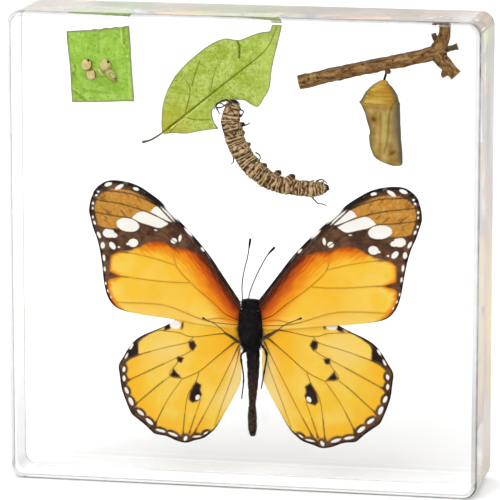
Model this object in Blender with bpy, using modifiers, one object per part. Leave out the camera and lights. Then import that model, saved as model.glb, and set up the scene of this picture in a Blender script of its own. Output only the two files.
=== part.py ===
"""Clear cast resin block, 75 x 15 x 75 mm, standing on its bottom edge face with its front toward -Y.

Metres, +Z up. The origin is the centre of the bottom face's box. What is sealed inside the resin
is not solid modelling work: the visual model makes it.
"""

import bpy

COLLECTION_NAME = "insect_in_resin_block"

WIDTH = 0.075  # X
DEPTH = 0.015  # Y
HEIGHT = 0.075  # Z
CORNER_RADIUS = 0.0022  # the four edges that run front to back
FRONT_FILLET = 0.00086  # the outline of the front face
BACK_FILLET = 0.00015  # the outline of the back face, its edge only just broken
CORNER_SEGMENTS = 8
FILLET_SEGMENTS = 4


def clear_scene():
    for obj in list(bpy.data.objects):
        bpy.data.objects.remove(obj, do_unlink=True)


def resin_material():
    material = bpy.data.materials.new("resin")
    material.use_nodes = True
    shader = material.node_tree.nodes["Principled BSDF"]
    shader.inputs["Base Color"].default_value = (0.97, 0.98, 0.98, 1.0)
    shader.inputs["Roughness"].default_value = 0.02
    shader.inputs["IOR"].default_value = 1.5
    shader.inputs["Transmission Weight"].default_value = 1.0
    return material


def make_resin_block(collection):
    """A cube, its depth edges rounded first, then the outline of each large face."""
    bpy.ops.mesh.primitive_cube_add(size=1.0, location=(0.0, 0.0, HEIGHT / 2))
    block = bpy.context.active_object
    block.name = "resin_block"
    block.data.name = "resin_block"
    block.scale = (WIDTH, DEPTH, HEIGHT)
    bpy.ops.object.transform_apply(location=False, rotation=False, scale=True)

    weights = block.data.attributes.new("bevel_weight_edge", "FLOAT", "EDGE")
    for edge in block.data.edges:
        start, end = (block.data.vertices[i].co for i in edge.vertices)
        weights.data[edge.index].value = 1.0 if abs(start.y - end.y) > DEPTH / 2 else 0.0

    corners = block.modifiers.new("corner_rounding", "BEVEL")
    corners.limit_method = "WEIGHT"
    corners.width = CORNER_RADIUS
    corners.segments = CORNER_SEGMENTS

    for name, toward, width in (("front", -1.0, FRONT_FILLET), ("back", 1.0, BACK_FILLET)):
        group = block.vertex_groups.new(name=name)
        group.add([v.index for v in block.data.vertices if v.co.y * toward > 0.0], 1.0, "REPLACE")
        fillet = block.modifiers.new(name + "_fillet", "BEVEL")
        fillet.limit_method = "VGROUP"
        fillet.vertex_group = name
        fillet.width = width
        fillet.segments = FILLET_SEGMENTS

    for user in list(block.users_collection):
        user.objects.unlink(block)
    collection.objects.link(block)
    block.data.materials.append(resin_material())
    return block


def main():
    clear_scene()
    collection = bpy.data.collections.new(COLLECTION_NAME)
    bpy.context.scene.collection.children.link(collection)
    make_resin_block(collection)


main()
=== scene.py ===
import math

import bmesh
import bpy
import numpy as np
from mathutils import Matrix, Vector


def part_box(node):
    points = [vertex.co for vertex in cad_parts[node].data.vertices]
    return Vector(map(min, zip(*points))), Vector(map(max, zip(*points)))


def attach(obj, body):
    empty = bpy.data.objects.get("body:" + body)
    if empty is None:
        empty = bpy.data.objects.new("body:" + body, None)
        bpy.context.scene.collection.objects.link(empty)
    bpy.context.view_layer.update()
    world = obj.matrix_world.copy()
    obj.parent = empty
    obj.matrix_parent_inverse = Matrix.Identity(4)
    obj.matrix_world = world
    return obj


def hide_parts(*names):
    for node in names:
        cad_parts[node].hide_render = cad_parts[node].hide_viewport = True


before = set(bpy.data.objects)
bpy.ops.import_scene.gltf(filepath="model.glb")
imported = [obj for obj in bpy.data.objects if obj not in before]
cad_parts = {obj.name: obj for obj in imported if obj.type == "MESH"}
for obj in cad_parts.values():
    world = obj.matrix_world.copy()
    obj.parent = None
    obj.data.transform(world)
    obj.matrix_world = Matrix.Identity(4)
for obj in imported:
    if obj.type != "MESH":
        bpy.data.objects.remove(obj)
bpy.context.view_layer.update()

# ---------------------------------------------------------------------------------------------
# Wings: four thin membranes covered in coloured scales, set flat at half the depth of the block,
# the forewings in front. The veins are hollow tubes that stand out of the membrane on both faces.
# Each wing is spanned between its leading and trailing edge; the colour zones are fields on it.
# ---------------------------------------------------------------------------------------------
MM = 0.001
block_low, block_high = (np.array(corner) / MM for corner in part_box("resin_block"))
BED = (block_low[1] + block_high[1]) / 2  # depth at which the specimens were laid, mm
WING_THICKNESS = 0.09
FOREWING_LIFT, HINDWING_LIFT = -0.32, 0.12  # how far behind that depth the wings lie


def smooth_line(points, count):
    """Catmull-Rom curve through the points, read at `count` places an equal way apart along it."""
    p = np.asarray(points, float)
    p = np.vstack([2 * p[0] - p[1], p, 2 * p[-1] - p[-2]])
    t = np.linspace(0, 1, 24, endpoint=False)[:, None, None]
    a, b, c, d = p[:-3], p[1:-2], p[2:-1], p[3:]
    fine = 0.5 * (2 * b + (c - a) * t + (2 * a - 5 * b + 4 * c - d) * t**2
                  + (3 * b - a - 3 * c + d) * t**3)
    fine = np.vstack([fine.transpose(1, 0, 2).reshape(-1, p.shape[1]), p[-2]])
    run = np.concatenate([[0], np.cumsum(np.linalg.norm(np.diff(fine, axis=0), axis=1))])
    where = np.linspace(0, run[-1], count)
    return np.stack([np.interp(where, run, fine[:, k]) for k in range(p.shape[1])], -1)


def grid_faces(rows, columns, wrap=False):
    """Quads of a rows x columns grid of points; wrap joins the last column to the first."""
    i, j = np.meshgrid(np.arange(rows - 1), np.arange(columns - (not wrap)), indexing="ij")
    k = (j + 1) % columns
    return np.stack([i * columns + j, i * columns + k, (i + 1) * columns + k, (i + 1) * columns + j],
                    -1).reshape(-1, 4)


def rim_of(grid):
    """The outermost entries of a grid, once round."""
    return np.concatenate([grid[0], grid[1:, -1], grid[-1, -2::-1], grid[-2:0:-1, 0]])


def turns(sides):
    """Equal angles once round."""
    return np.arange(sides) * 2 * math.pi / sides


def ramp(value, low, high):
    """0 at low and 1 at high, straight between and level beyond; low may be the larger."""
    return np.clip((value - low) / (high - low), 0, 1)


def soft(distance, width):
    """A bell: 1 at distance 0 and 1/e one width away."""
    return np.exp(-(distance / width) ** 2)


def fade(distance, length):
    """1 up to distance 0, then divided by e with every length."""
    return np.exp(-np.clip(distance, 0, None) / length)


def make_piece(name, points, faces, material, fields=None, smooth=True):
    """One closed mesh from points in mm: doubles merged, faces turned outwards, riding on the block.
    Every field becomes a float attribute of the points."""
    mesh = bpy.data.meshes.new(name)
    mesh.from_pydata((np.asarray(points, float).reshape(-1, 3) * MM).tolist(), [], faces.tolist())
    for field, values in (fields or {}).items():
        attribute = mesh.attributes.new(field, "FLOAT", "POINT")
        attribute.data.foreach_set("value", np.asarray(values, np.float32).ravel())
    work = bmesh.new()
    work.from_mesh(mesh)
    bmesh.ops.remove_doubles(work, verts=work.verts, dist=1e-7)
    bmesh.ops.dissolve_degenerate(work, edges=work.edges, dist=1e-8)
    bmesh.ops.recalc_face_normals(work, faces=work.faces)
    work.to_mesh(mesh)
    work.free()
    mesh.polygons.foreach_set("use_smooth", np.full(len(mesh.polygons), smooth))
    mesh.materials.append(material)
    piece = bpy.data.objects.new(name, mesh)
    bpy.context.scene.collection.objects.link(piece)
    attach(piece, "root")
    return piece


def shell(middle, thickness):
    """(points, faces) of a closed thin shell: the middle grid moved half the thickness towards -Y
    and towards +Y, the two joined by a strip round the rim."""
    rows, columns = middle.shape[:2]
    push = np.array([0, thickness / 2, 0])
    points = np.concatenate([(middle - push).reshape(-1, 3), (middle + push).reshape(-1, 3)])
    rim = rim_of(np.arange(rows * columns).reshape(rows, columns))
    after = np.roll(rim, -1)
    side = rows * columns
    front = grid_faces(rows, columns)
    strip = np.stack([rim, after, after + side, rim + side], -1)
    return points, np.concatenate([front, front[:, ::-1] + side, strip])


def closed(radius):
    """The same radii with both ends brought to a point."""
    radius = radius.copy()
    radius[[0, -1]] = 0
    return radius


def tube(path, radius, sides, flat=1.0):
    """(points, faces) of rings square to a path that runs roughly in a plane of constant Y. radius
    has one value a ring, or one for each ring and side; flat scales it along Y."""
    path = np.asarray(path, float)
    along = np.gradient(path, axis=0)
    along /= np.linalg.norm(along, axis=1, keepdims=True)
    deep = np.array([0, 1.0, 0]) - along * along[:, 1:2]
    deep /= np.linalg.norm(deep, axis=1, keepdims=True)
    across = np.cross(along, deep)
    turn = turns(sides)[None, :, None]
    ring = across[:, None] * np.cos(turn) + deep[:, None] * (flat * np.sin(turn))
    size = np.reshape(radius, (len(path), -1, 1))
    return path[:, None] + ring * size, grid_faces(len(path), sides, wrap=True)


def joined(parts):
    """Several (points, faces) as one."""
    points, faces, count = [], [], 0
    for part_points, part_faces in parts:
        part_points = part_points.reshape(-1, 3)
        points.append(part_points)
        faces.append(part_faces + count)
        count += len(part_points)
    return np.concatenate(points), np.concatenate(faces)


def in_plane(points, depth):
    """(x, z) points in mm with the depth put in as y."""
    points = np.asarray(points, float)
    return np.stack([points[..., 0], np.zeros(points.shape[:-1]) + depth, points[..., 1]], -1)


def to_line(points, line):
    """Distance from each (x, z) point to a line of straight pieces."""
    best = np.full(points.shape[:-1], np.inf)
    for start, end in zip(line[:-1], line[1:]):
        run = end - start
        share = np.clip(((points - start) @ run) / (run @ run), 0, 1)
        best = np.minimum(best, np.linalg.norm(points - start - share[..., None] * run, axis=-1))
    return best


def inside_depth(points, outline):
    """How far each (x, z) point is inside an outline, in mm; negative outside."""
    ring = np.vstack([outline, outline[:1]])
    odd = np.zeros(points.shape[:-1], bool)
    x, z = points[..., 0], points[..., 1]
    for (x0, z0), (x1, z1) in zip(ring[:-1], ring[1:]):
        if z0 != z1:
            odd ^= ((z0 > z) != (z1 > z)) & (x < (x1 - x0) * (z - z0) / (z1 - z0) + x0)
    return np.where(odd, 1, -1) * to_line(points, ring)


def ovals_depth(points, ovals):
    """How far each (x, z) point is inside the nearest oval, given as (x, z, length, width, tilt)."""
    deepest = np.full(points.shape[:-1], -2.0)
    for x, z, length, width, tilt in ovals:
        c, s = math.cos(math.radians(tilt)), math.sin(math.radians(tilt))
        along = ((points[..., 0] - x) * c + (points[..., 1] - z) * s) / (length / 2)
        across = ((points[..., 1] - z) * c - (points[..., 0] - x) * s) / (width / 2)
        deepest = np.maximum(deepest, (1 - np.hypot(along, across)) * width / 2)
    return deepest


class Finish:
    """A Principled material and the short way to its nodes. The resin wets what is sealed in it, so
    a surface has hardly any gloss of its own unless it is told otherwise."""

    def __init__(self, name, Specular_IOR_Level=0.06, **values):
        self.material = bpy.data.materials.new(name)
        self.material.use_nodes = True
        self.tree = self.material.node_tree
        self.shader = self.tree.nodes["Principled BSDF"]
        self.shader.inputs["Specular IOR Level"].default_value = Specular_IOR_Level
        for key, value in values.items():
            self.shader.inputs[key.replace("_", " ")].default_value = value

    def node(self, kind, settings=None, **inputs):
        """A new node. An input is a number, a colour, or another node's output; _0 is socket 0."""
        made = self.tree.nodes.new(kind)
        for key, value in (settings or {}).items():
            setattr(made, key, value)
        for key, value in inputs.items():
            socket = made.inputs[int(key[1:]) if key[0] == "_" else key.replace("_", " ")]
            if isinstance(value, bpy.types.NodeSocket):
                self.tree.links.new(value, socket)
            else:
                socket.default_value = value
        return made.outputs

    def place(self, stretch=(1, 1, 1), turn=(0, 0, 0)):
        """Object coordinates in mm, stretched and turned."""
        where = self.node("ShaderNodeTexCoord")["Object"]
        return self.node("ShaderNodeMapping", Vector=where, Rotation=turn,
                         Scale=tuple(1000 * s for s in stretch))[0]

    def field(self, name):
        """A piece's own attribute."""
        return self.node("ShaderNodeAttribute", {"attribute_name": name})["Fac"]

    def noise(self, scale, detail=2.0, where=None, rough=0.5):
        """Noise of `scale` blotches a mm."""
        return self.node("ShaderNodeTexNoise", Vector=where or self.place(), Scale=scale,
                         Detail=detail, Roughness=rough)["Fac"]

    def maths(self, operation, *inputs):
        """The result of one Math node."""
        return self.node("ShaderNodeMath", {"operation": operation},
                         **{f"_{k}": value for k, value in enumerate(inputs)})[0]

    def step(self, value, low, high):
        """0 below low and 1 above high, smooth between."""
        return self.node("ShaderNodeMapRange", {"interpolation_type": "SMOOTHSTEP"},
                         Value=value, From_Min=low, From_Max=high)[0]

    def mix(self, share, low, high, blend="MIX"):
        """The colour low where share is 0, high where it is 1."""
        return self.node("ShaderNodeMix", {"data_type": "RGBA", "blend_type": blend},
                         _0=share, _6=low, _7=high)[2]

    def tones(self, scale, detail, low, high, first, second):
        """Blotches of two screen colours: the first where the noise is below low, the second above
        high."""
        return self.mix(self.step(self.noise(scale, detail), low, high), srgb(*first), srgb(*second))

    def colour(self, source, roughness=None):
        """The surface's colour, and its roughness where that varies."""
        self.tree.links.new(source, self.shader.inputs["Base Color"])
        if roughness is not None:
            self.tree.links.new(roughness, self.shader.inputs["Roughness"])

    def relief(self, height, depth_mm, strength=1.0):
        """Bumps as deep as depth_mm where height goes from 0 to 1."""
        bump = self.node("ShaderNodeBump", Height=height, Distance=depth_mm * MM, Strength=strength)
        self.tree.links.new(bump[0], self.shader.inputs["Normal"])


def srgb(red, green, blue):
    """A screen colour, 0 to 255, as the linear colour that the shaders use."""
    c = np.array([red, green, blue]) / 255
    return (*np.where(c <= 0.04045, c / 12.92, ((c + 0.055) / 1.055) ** 2.4), 1.0)


def wing_finish():
    """Scales: yellow ground, rust along the leading edge, ochre tip, dark and white marks. Their
    borders are a little ragged because each scale is one colour. Streaks run out from the wing's
    root: ray and reach are the angle and the distance about it."""
    wing = Finish("wing_scales", Roughness=0.62)
    outward = wing.node("ShaderNodeCombineXYZ", X=wing.maths("MULTIPLY", wing.field("ray"), 46.0),
                        Y=wing.maths("MULTIPLY", wing.field("reach"), 0.45))[0]
    streak = wing.noise(1.0, 3, outward)
    ragged = wing.maths("MULTIPLY", wing.maths("SUBTRACT", wing.noise(5, 3), 0.5), 0.25)
    ground = wing.tones(0.2, 3, 0.36, 0.64, (255, 217, 92), (255, 205, 62))
    ground = wing.mix(wing.step(wing.field("deep"), 0.0, 1.0), ground, srgb(255, 190, 40))
    ground = wing.mix(wing.step(wing.field("pale"), 0.0, 1.0), ground, srgb(255, 228, 148))
    ground = wing.mix(wing.maths("MULTIPLY", wing.field("seam"), 0.5), ground, srgb(182, 114, 16))
    rusty = wing.maths("MULTIPLY", wing.field("rust"), wing.maths("MULTIPLY_ADD", streak, 1.5, 0.25))
    for low, high, tone in ((0.1, 0.42, (244, 148, 24)), (0.4, 0.86, (206, 88, 20)),
                            (0.85, 1.6, (96, 36, 18))):
        ground = wing.mix(wing.step(rusty, low, high), ground, srgb(*tone))
    ochre = wing.tones(2.0, 4, 0.4, 0.72, (200, 138, 50), (214, 164, 86))
    ochre = wing.mix(wing.step(wing.noise(3.4, 4), 0.68, 0.76), ochre, srgb(244, 206, 116))
    ochre = wing.mix(wing.step(streak, 0.46, 0.3), ochre, srgb(150, 98, 42))
    ground = wing.mix(wing.step(wing.field("ochre"), -0.5, -0.2), ground, ochre)
    dark = wing.tones(0.7, 3, 0.35, 0.65, (76, 52, 38), (112, 80, 58))
    dark = wing.mix(wing.step(wing.field("black"), 0.2, 0.9), dark, srgb(33, 25, 25))
    sheen = wing.maths("MULTIPLY", wing.step(streak, 0.54, 0.66), wing.field("costal"))
    dark = wing.mix(sheen, dark, srgb(112, 100, 104))
    edge = wing.step(wing.maths("ADD", wing.field("dark"), ragged), -0.16, 0.12)
    ground = wing.mix(edge, ground, dark)
    thin = wing.maths("MULTIPLY", ragged, 0.5)
    white = wing.step(wing.maths("ADD", wing.field("white"), thin), -0.05, 0.06)
    ground = wing.mix(white, ground, srgb(255, 252, 246))
    grain = wing.step(wing.noise(9, 2, wing.place((1, 1, 0.6))), 0.3, 0.7)
    grain = wing.mix(grain, (0.96, 0.96, 0.96, 1), (1, 1, 1, 1))
    ground = wing.mix(1.0, ground, grain, "MULTIPLY")
    below = wing.maths("MULTIPLY", wing.field("underside"), 0.28)
    wing.colour(wing.mix(below, ground, srgb(236, 206, 150)))
    wing.relief(wing.noise(7, 3, wing.place((1, 1, 0.35))), 0.03, 0.6)
    return wing.material


def vein_finish():
    """Brown rods, or amber ones where the field called light says so."""
    vein = Finish("wing_veins", Roughness=0.5)
    dark = vein.tones(1.3, 3, 0.35, 0.7, (66, 38, 16), (106, 62, 20))
    light = vein.tones(1.3, 3, 0.35, 0.7, (196, 116, 14), (222, 150, 24))
    vein.colour(vein.mix(vein.field("light"), dark, light))
    vein.relief(vein.noise(8, 2), 0.02, 0.5)
    return vein.material


def wing_depth(points, lift):
    """Depth of the wing at (x, z): nearly flat, with a slow wave and a lift towards the tip."""
    x, z = points[..., 0], points[..., 1]
    return BED + lift + 0.16 * np.sin(0.35 * x + 0.2 * z) - 0.012 * np.abs(x - 0.6)


# Left wings, in mm: x from the middle of the block, z from its bottom. The roots are where a wing's
# dusting of rust or black starts; the scale streaks spread out from RAY_CENTRE.
FOREWING_ROOT, HINDWING_ROOT, RAY_CENTRE = (-0.8, 27.0), (-2.0, 22.0), (-0.4, 25.5)
FOREWING_LEADING = [(-1.0, 29.2), (-3.4, 32.7), (-6.0, 36.5), (-9.0, 40.0), (-12.0, 43.0), (-13.8, 44.8),
                    (-15.6, 46.1), (-17.3, 47.1), (-19.2, 47.7), (-21.2, 47.9), (-22.6, 47.7), (-23.9, 46.9),
                    (-24.6, 46.1)]
FOREWING_TRAILING = [(-1.2, 24.8), (-6.6, 25.2), (-12.0, 25.9), (-17.2, 26.5), (-20.2, 27.1), (-21.6, 27.9),
                     (-22.5, 29.3), (-23.0, 31.3), (-23.3, 34.0), (-23.6, 36.2), (-24.1, 38.4),
                     (-24.7, 40.0), (-25.1, 41.5), (-25.4, 42.9), (-25.2, 44.4), (-24.8, 45.6)]
FOREWING_OCHRE = [(-24.3, 42.6), (-24.4, 44.2), (-24.0, 45.4), (-23.4, 46.1), (-22.2, 46.45), (-19.7, 46.25),
                  (-17.0, 45.75), (-15.1, 44.75), (-14.3, 43.9), (-15.0, 42.5), (-18.0, 41.4), (-20.8, 40.2),
                  (-22.7, 40.15), (-23.7, 40.4)]
FOREWING_DARK = [(-24.8, 40.4), (-22.7, 40.3), (-21.0, 40.1), (-18.3, 41.2), (-14.4, 42.6), (-13.2, 44.6),
                 (-9.5, 41.3), (-6.2, 37.0), (-8.0, 36.7), (-9.6, 37.3), (-11.4, 37.5), (-12.8, 38.1),
                 (-14.2, 38.5), (-15.8, 38.2), (-17.2, 37.4), (-19.0, 36.7), (-21.0, 36.5), (-22.0, 35.6),
                 (-22.2, 33.5), (-22.4, 31.8), (-23.4, 31.0)]
# White marks: outlines of the large patches of the band, then ovals (x, z, length, width, tilt).
FOREWING_PATCHES = [
    [(-18.5, 42.0), (-17.6, 42.8), (-16.7, 43.05), (-15.6, 42.75), (-12.7, 41.5), (-13.1, 40.9),
     (-14.1, 40.5), (-15.7, 40.9), (-17.35, 41.35)],
    [(-15.45, 43.05), (-14.95, 43.65), (-14.2, 43.95), (-13.0, 42.85), (-11.9, 41.75), (-12.3, 41.6),
     (-13.8, 42.2)]]
FOREWING_WHITE = [
    (-22.3, 47.2, 1.3, 0.6, 20), (-20.5, 46.85, 1.6, 0.6, 30), (-17.8, 46.65, 1.0, 0.5, -15),
    (-19.15, 40.8, 3.7, 2.15, -8), (-12.65, 42.8, 3.1, 0.42, -46), (-12.1, 42.95, 3.3, 0.4, -46),
    (-9.35, 40.05, 1.9, 0.42, -46), (-7.05, 37.35, 0.85, 0.4, -52),
    (-11.7, 38.55, 1.0, 0.9, 0), (-10.7, 39.0, 1.2, 0.5, 78), (-14.6, 40.15, 0.6, 0.22, 0),
    (-22.25, 39.4, 1.9, 1.5, 0), (-21.6, 39.15, 1.6, 0.9, -12), (-21.65, 37.4, 1.35, 0.85, -52),
    (-18.3, 37.95, 1.6, 1.35, 10), (-19.0, 37.8, 0.9, 0.4, 15), (-20.6, 37.2, 0.4, 0.3, 0),
    (-23.8, 39.05, 1.15, 0.5, -65), (-23.2, 37.4, 1.05, 0.68, 90), (-23.9, 46.0, 0.42, 0.36, 0),
    (-24.2, 45.4, 0.45, 0.34, 20), (-24.76, 44.1, 0.45, 0.34, 90), (-24.8, 43.3, 0.42, 0.26, 90),
    (-24.8, 41.9, 0.45, 0.34, 90), (-24.5, 41.0, 0.65, 0.38, 110), (-23.0, 35.4, 1.1, 0.42, 95),
    (-22.9, 33.6, 0.8, 0.36, 95), (-22.75, 31.3, 0.55, 0.26, 95), (-22.4, 30.1, 0.5, 0.24, 110),
    (-21.9, 29.1, 0.4, 0.22, 120)]
# Veins: greatest radius and line.
FOREWING_VEINS = [
    (0.10, [(-1.2, 26.2), (-3.4, 27.1), (-5.5, 29.0), (-9.0, 31.9), (-11.4, 34.6), (-11.7, 37.1)]),
    (0.06, [(-9.0, 31.9), (-12.0, 31.85), (-15.0, 32.0), (-19.0, 32.4), (-23.1, 32.7)]),
    (0.06, [(-11.4, 34.6), (-14.95, 35.6), (-19.4, 36.4), (-23.5, 36.5)]),
    (0.06, [(-11.7, 37.1), (-13.2, 38.9), (-15.6, 39.4), (-19.9, 39.75), (-22.9, 40.2), (-24.9, 40.6)]),
    (0.05, [(-11.0, 38.0), (-11.9, 38.6), (-13.4, 39.9), (-16.4, 40.8), (-18.7, 42.0), (-20.5, 42.1),
            (-25.1, 42.8)]),
    (0.05, [(-9.8, 39.4), (-12.6, 41.4), (-15.7, 42.9), (-19.9, 44.1), (-23.0, 44.5), (-25.0, 44.9)]),
    (0.06, [(-9.8, 39.4), (-11.5, 41.35), (-12.9, 42.85), (-14.6, 44.25), (-17.0, 45.3), (-19.0, 45.9),
            (-22.8, 46.2)]),
    (0.05, [(-11.0, 41.5), (-12.6, 43.1), (-14.3, 44.6), (-16.0, 45.6), (-18.5, 46.5)]),
    (0.10, [(-1.2, 27.6), (-3.8, 31.6), (-6.6, 35.6), (-9.8, 39.4), (-12.4, 42.1), (-14.6, 44.4)]),
    (0.07, [(-1.2, 25.4), (-5.5, 25.7), (-8.0, 26.3), (-12.4, 27.9), (-15.5, 28.3), (-20.9, 28.3)]),
    (0.06, [(-11.7, 37.1), (-10.9, 38.1), (-9.8, 39.4)]),
    (0.05, [(-1.3, 25.9), (-4.0, 26.4), (-6.6, 26.0)])]
HINDWING_LEADING = [(-1.4, 26.4), (-6.0, 27.2), (-10.5, 26.4), (-12.9, 24.9), (-14.8, 24.0), (-16.6, 23.2),
                    (-18.0, 22.3), (-19.1, 21.0), (-20.0, 19.5), (-20.8, 18.0), (-20.65, 16.3), (-20.4, 14.4),
                    (-20.0, 13.1), (-19.3, 11.3), (-18.6, 10.0), (-17.2, 9.1), (-16.4, 8.4)]
HINDWING_TRAILING = [(-1.0, 21.0), (-0.9, 18.5), (-1.1, 16.0), (-2.2, 13.6), (-3.7, 10.9), (-5.0, 8.6),
                     (-5.95, 7.6), (-7.0, 6.8), (-8.6, 6.3), (-9.8, 5.9), (-11.3, 6.1), (-13.1, 6.8),
                     (-15.0, 7.1), (-15.8, 7.9)]
# Dark marks: outlines of the angular ones, then ovals.
HINDWING_SPOTS = [
    [(-9.45, 22.3), (-8.65, 22.55), (-8.15, 21.7), (-8.75, 20.8), (-9.35, 21.4)],
    [(-11.3, 19.85), (-10.2, 19.7), (-10.6, 18.85), (-11.25, 19.05)],
    [(-11.9, 17.95), (-11.5, 17.4), (-10.6, 16.45), (-11.95, 16.5), (-12.45, 16.8), (-12.1, 17.3)],
    [(-8.2, 15.9), (-7.4, 15.35), (-7.55, 14.5), (-7.3, 13.85), (-7.8, 12.8), (-8.9, 12.45), (-9.4, 13.0),
     (-9.2, 14.3), (-8.65, 15.3)],
    [(-12.75, 25.3), (-12.1, 24.9), (-12.5, 24.2), (-13.45, 23.95), (-13.2, 24.7)],
    [(-18.25, 22.2), (-17.6, 22.15), (-17.55, 19.85), (-19.2, 19.15), (-20.0, 19.2), (-19.0, 21.2)]]
HINDWING_BLACK = [(-10.45, 24.9, 1.1, 0.4, 80)]
HINDWING_WHITE = [(-11.6, 25.0, 1.8, 1.45, 0), (-8.0, 13.35, 0.95, 0.65, 60)]
HINDWING_DOTS = [(-18.7, 21.15, 1.0, 0.32, 60), (-19.5, 19.6, 0.9, 0.3, 62), (-19.95, 17.4, 0.8, 0.45, 80),
                 (-19.95, 15.9, 0.8, 0.45, 95), (-19.55, 13.95, 1.0, 0.5, -65), (-18.85, 12.2, 1.2, 0.6, -65),
                 (-17.3, 10.45, 1.2, 0.5, -38), (-15.85, 9.05, 1.3, 0.55, -40), (-14.0, 7.65, 1.4, 0.42, -12),
                 (-12.0, 7.15, 1.4, 0.42, -20), (-9.95, 6.6, 0.75, 0.5, 60), (-8.1, 7.0, 1.3, 0.3, 10),
                 (-6.7, 7.6, 0.8, 0.24, 35)]
HINDWING_VEINS = [
    (0.08, [(-1.4, 22.7), (-2.4, 23.3), (-3.6, 23.9), (-8.7, 23.1), (-11.0, 23.7), (-14.5, 24.0)]),
    (0.05, [(-8.7, 23.1), (-9.5, 22.2), (-13.7, 21.1), (-17.7, 19.8), (-20.1, 18.9)]),
    (0.05, [(-9.3, 22.0), (-9.1, 20.8), (-11.4, 19.6), (-14.8, 17.9), (-18.7, 15.9), (-20.2, 15.2)]),
    (0.05, [(-10.9, 19.6), (-11.4, 18.6), (-12.4, 17.3), (-12.4, 16.6), (-10.5, 16.3)]),
    (0.05, [(-12.4, 16.6), (-14.4, 15.05), (-17.6, 12.2), (-18.9, 11.2)]),
    (0.10, [(-1.4, 22.9), (-1.9, 22.6), (-4.7, 20.2), (-7.7, 17.6), (-10.5, 16.2)]),
    (0.05, [(-10.5, 16.2), (-12.7, 13.0), (-14.6, 9.3), (-15.2, 7.8)]),
    (0.06, [(-7.7, 17.6), (-8.3, 15.8), (-9.5, 13.8), (-9.9, 11.9), (-10.3, 8.0), (-10.4, 6.4)]),
    (0.06, [(-1.3, 22.0), (-3.4, 17.6), (-6.5, 11.4), (-8.6, 7.4), (-8.9, 6.5)]),
    (0.04, [(-7.5, 13.0), (-8.4, 10.4), (-9.3, 7.6)]),
    (0.05, [(-1.2, 21.4), (-1.9, 18.4), (-3.2, 14.7), (-4.5, 11.1), (-5.2, 8.9)])]
# The right wings are the left ones turned over and set a little larger and higher.
AS_LEFT = np.array([[1, 0, 0], [0, 1, 0.0]])
FOREWING_TO_RIGHT = np.array([[-1.036, 0.0625, -1.1], [0.006, 1.03, -0.77]])
HINDWING_TO_RIGHT = np.array([[-1.058, -0.016, 1.76], [0.002, 1.04, -0.05]])


def set_on(side, points):
    """The (x, z) points moved to their side of the body."""
    return np.asarray(points, float) @ side[:, :2].T + side[:, 2]


def lerp_by_arc(stops, count):
    """Values at shares of the way along an edge, filled in between."""
    at, value = np.array(stops, float).T
    return np.interp(np.linspace(0, 1, count), at, value)


def wing(name, side, lift, leading, trailing, dark_widths, fields, material, size):
    """The surface between two edges: point (u, v) is the share v of the way from the leading edge
    at u to the trailing edge at u. The dark border is as wide as dark_widths says along each edge.
    The membrane rises a little towards each vein."""
    rows, columns = size
    lead, trail = smooth_line(leading, rows), smooth_line(trailing, rows)
    across = np.linspace(0, 1, columns)[None, :, None]
    flat = lead[:, None] * (1 - across) + trail[:, None] * across
    widths = np.concatenate([lerp_by_arc(w, rows) for w in dark_widths])
    border = np.vstack([lead, trail]).astype(np.float32)
    parts = []
    for some in np.array_split(flat.reshape(-1, 2).astype(np.float32), 8):
        gaps = np.linalg.norm(some[:, None] - border[None], axis=2)
        parts.append([(widths[None] - gaps).max(1), gaps[:, :rows].min(1), gaps[:, rows:].min(1)])
    edge, from_lead, from_trail = np.concatenate(parts, 1).reshape(3, rows, columns)
    values = fields(flat, edge, from_lead, from_trail)
    placed = in_plane(set_on(side, flat), 0)
    placed[..., 1] = wing_depth(placed[..., [0, 2]], lift) - 0.05 * soft(values.pop("from_vein"), 0.35)
    points, faces = shell(placed, WING_THICKNESS)
    spread = flat - np.array(RAY_CENTRE)
    values["ray"] = np.arctan2(spread[..., 1], -spread[..., 0])
    values["reach"] = np.linalg.norm(spread, axis=-1)
    values = {key: np.tile(np.ravel(value), 2) for key, value in values.items()}
    values["underside"] = np.repeat([0.0, 1.0], rows * columns)
    return make_piece(name, points, faces, material, values)


def nearest_vein(flat, veins):
    """Distance to the nearest of the veins."""
    return np.min([to_line(flat, smooth_line(line, 12)) for _, line in veins], axis=0)


def smooth_max(*depths):
    """The largest of several depths, its corners rounded over a tenth of a mm."""
    return 0.1 * np.logaddexp.reduce(np.array(depths) / 0.1, axis=0)


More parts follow.
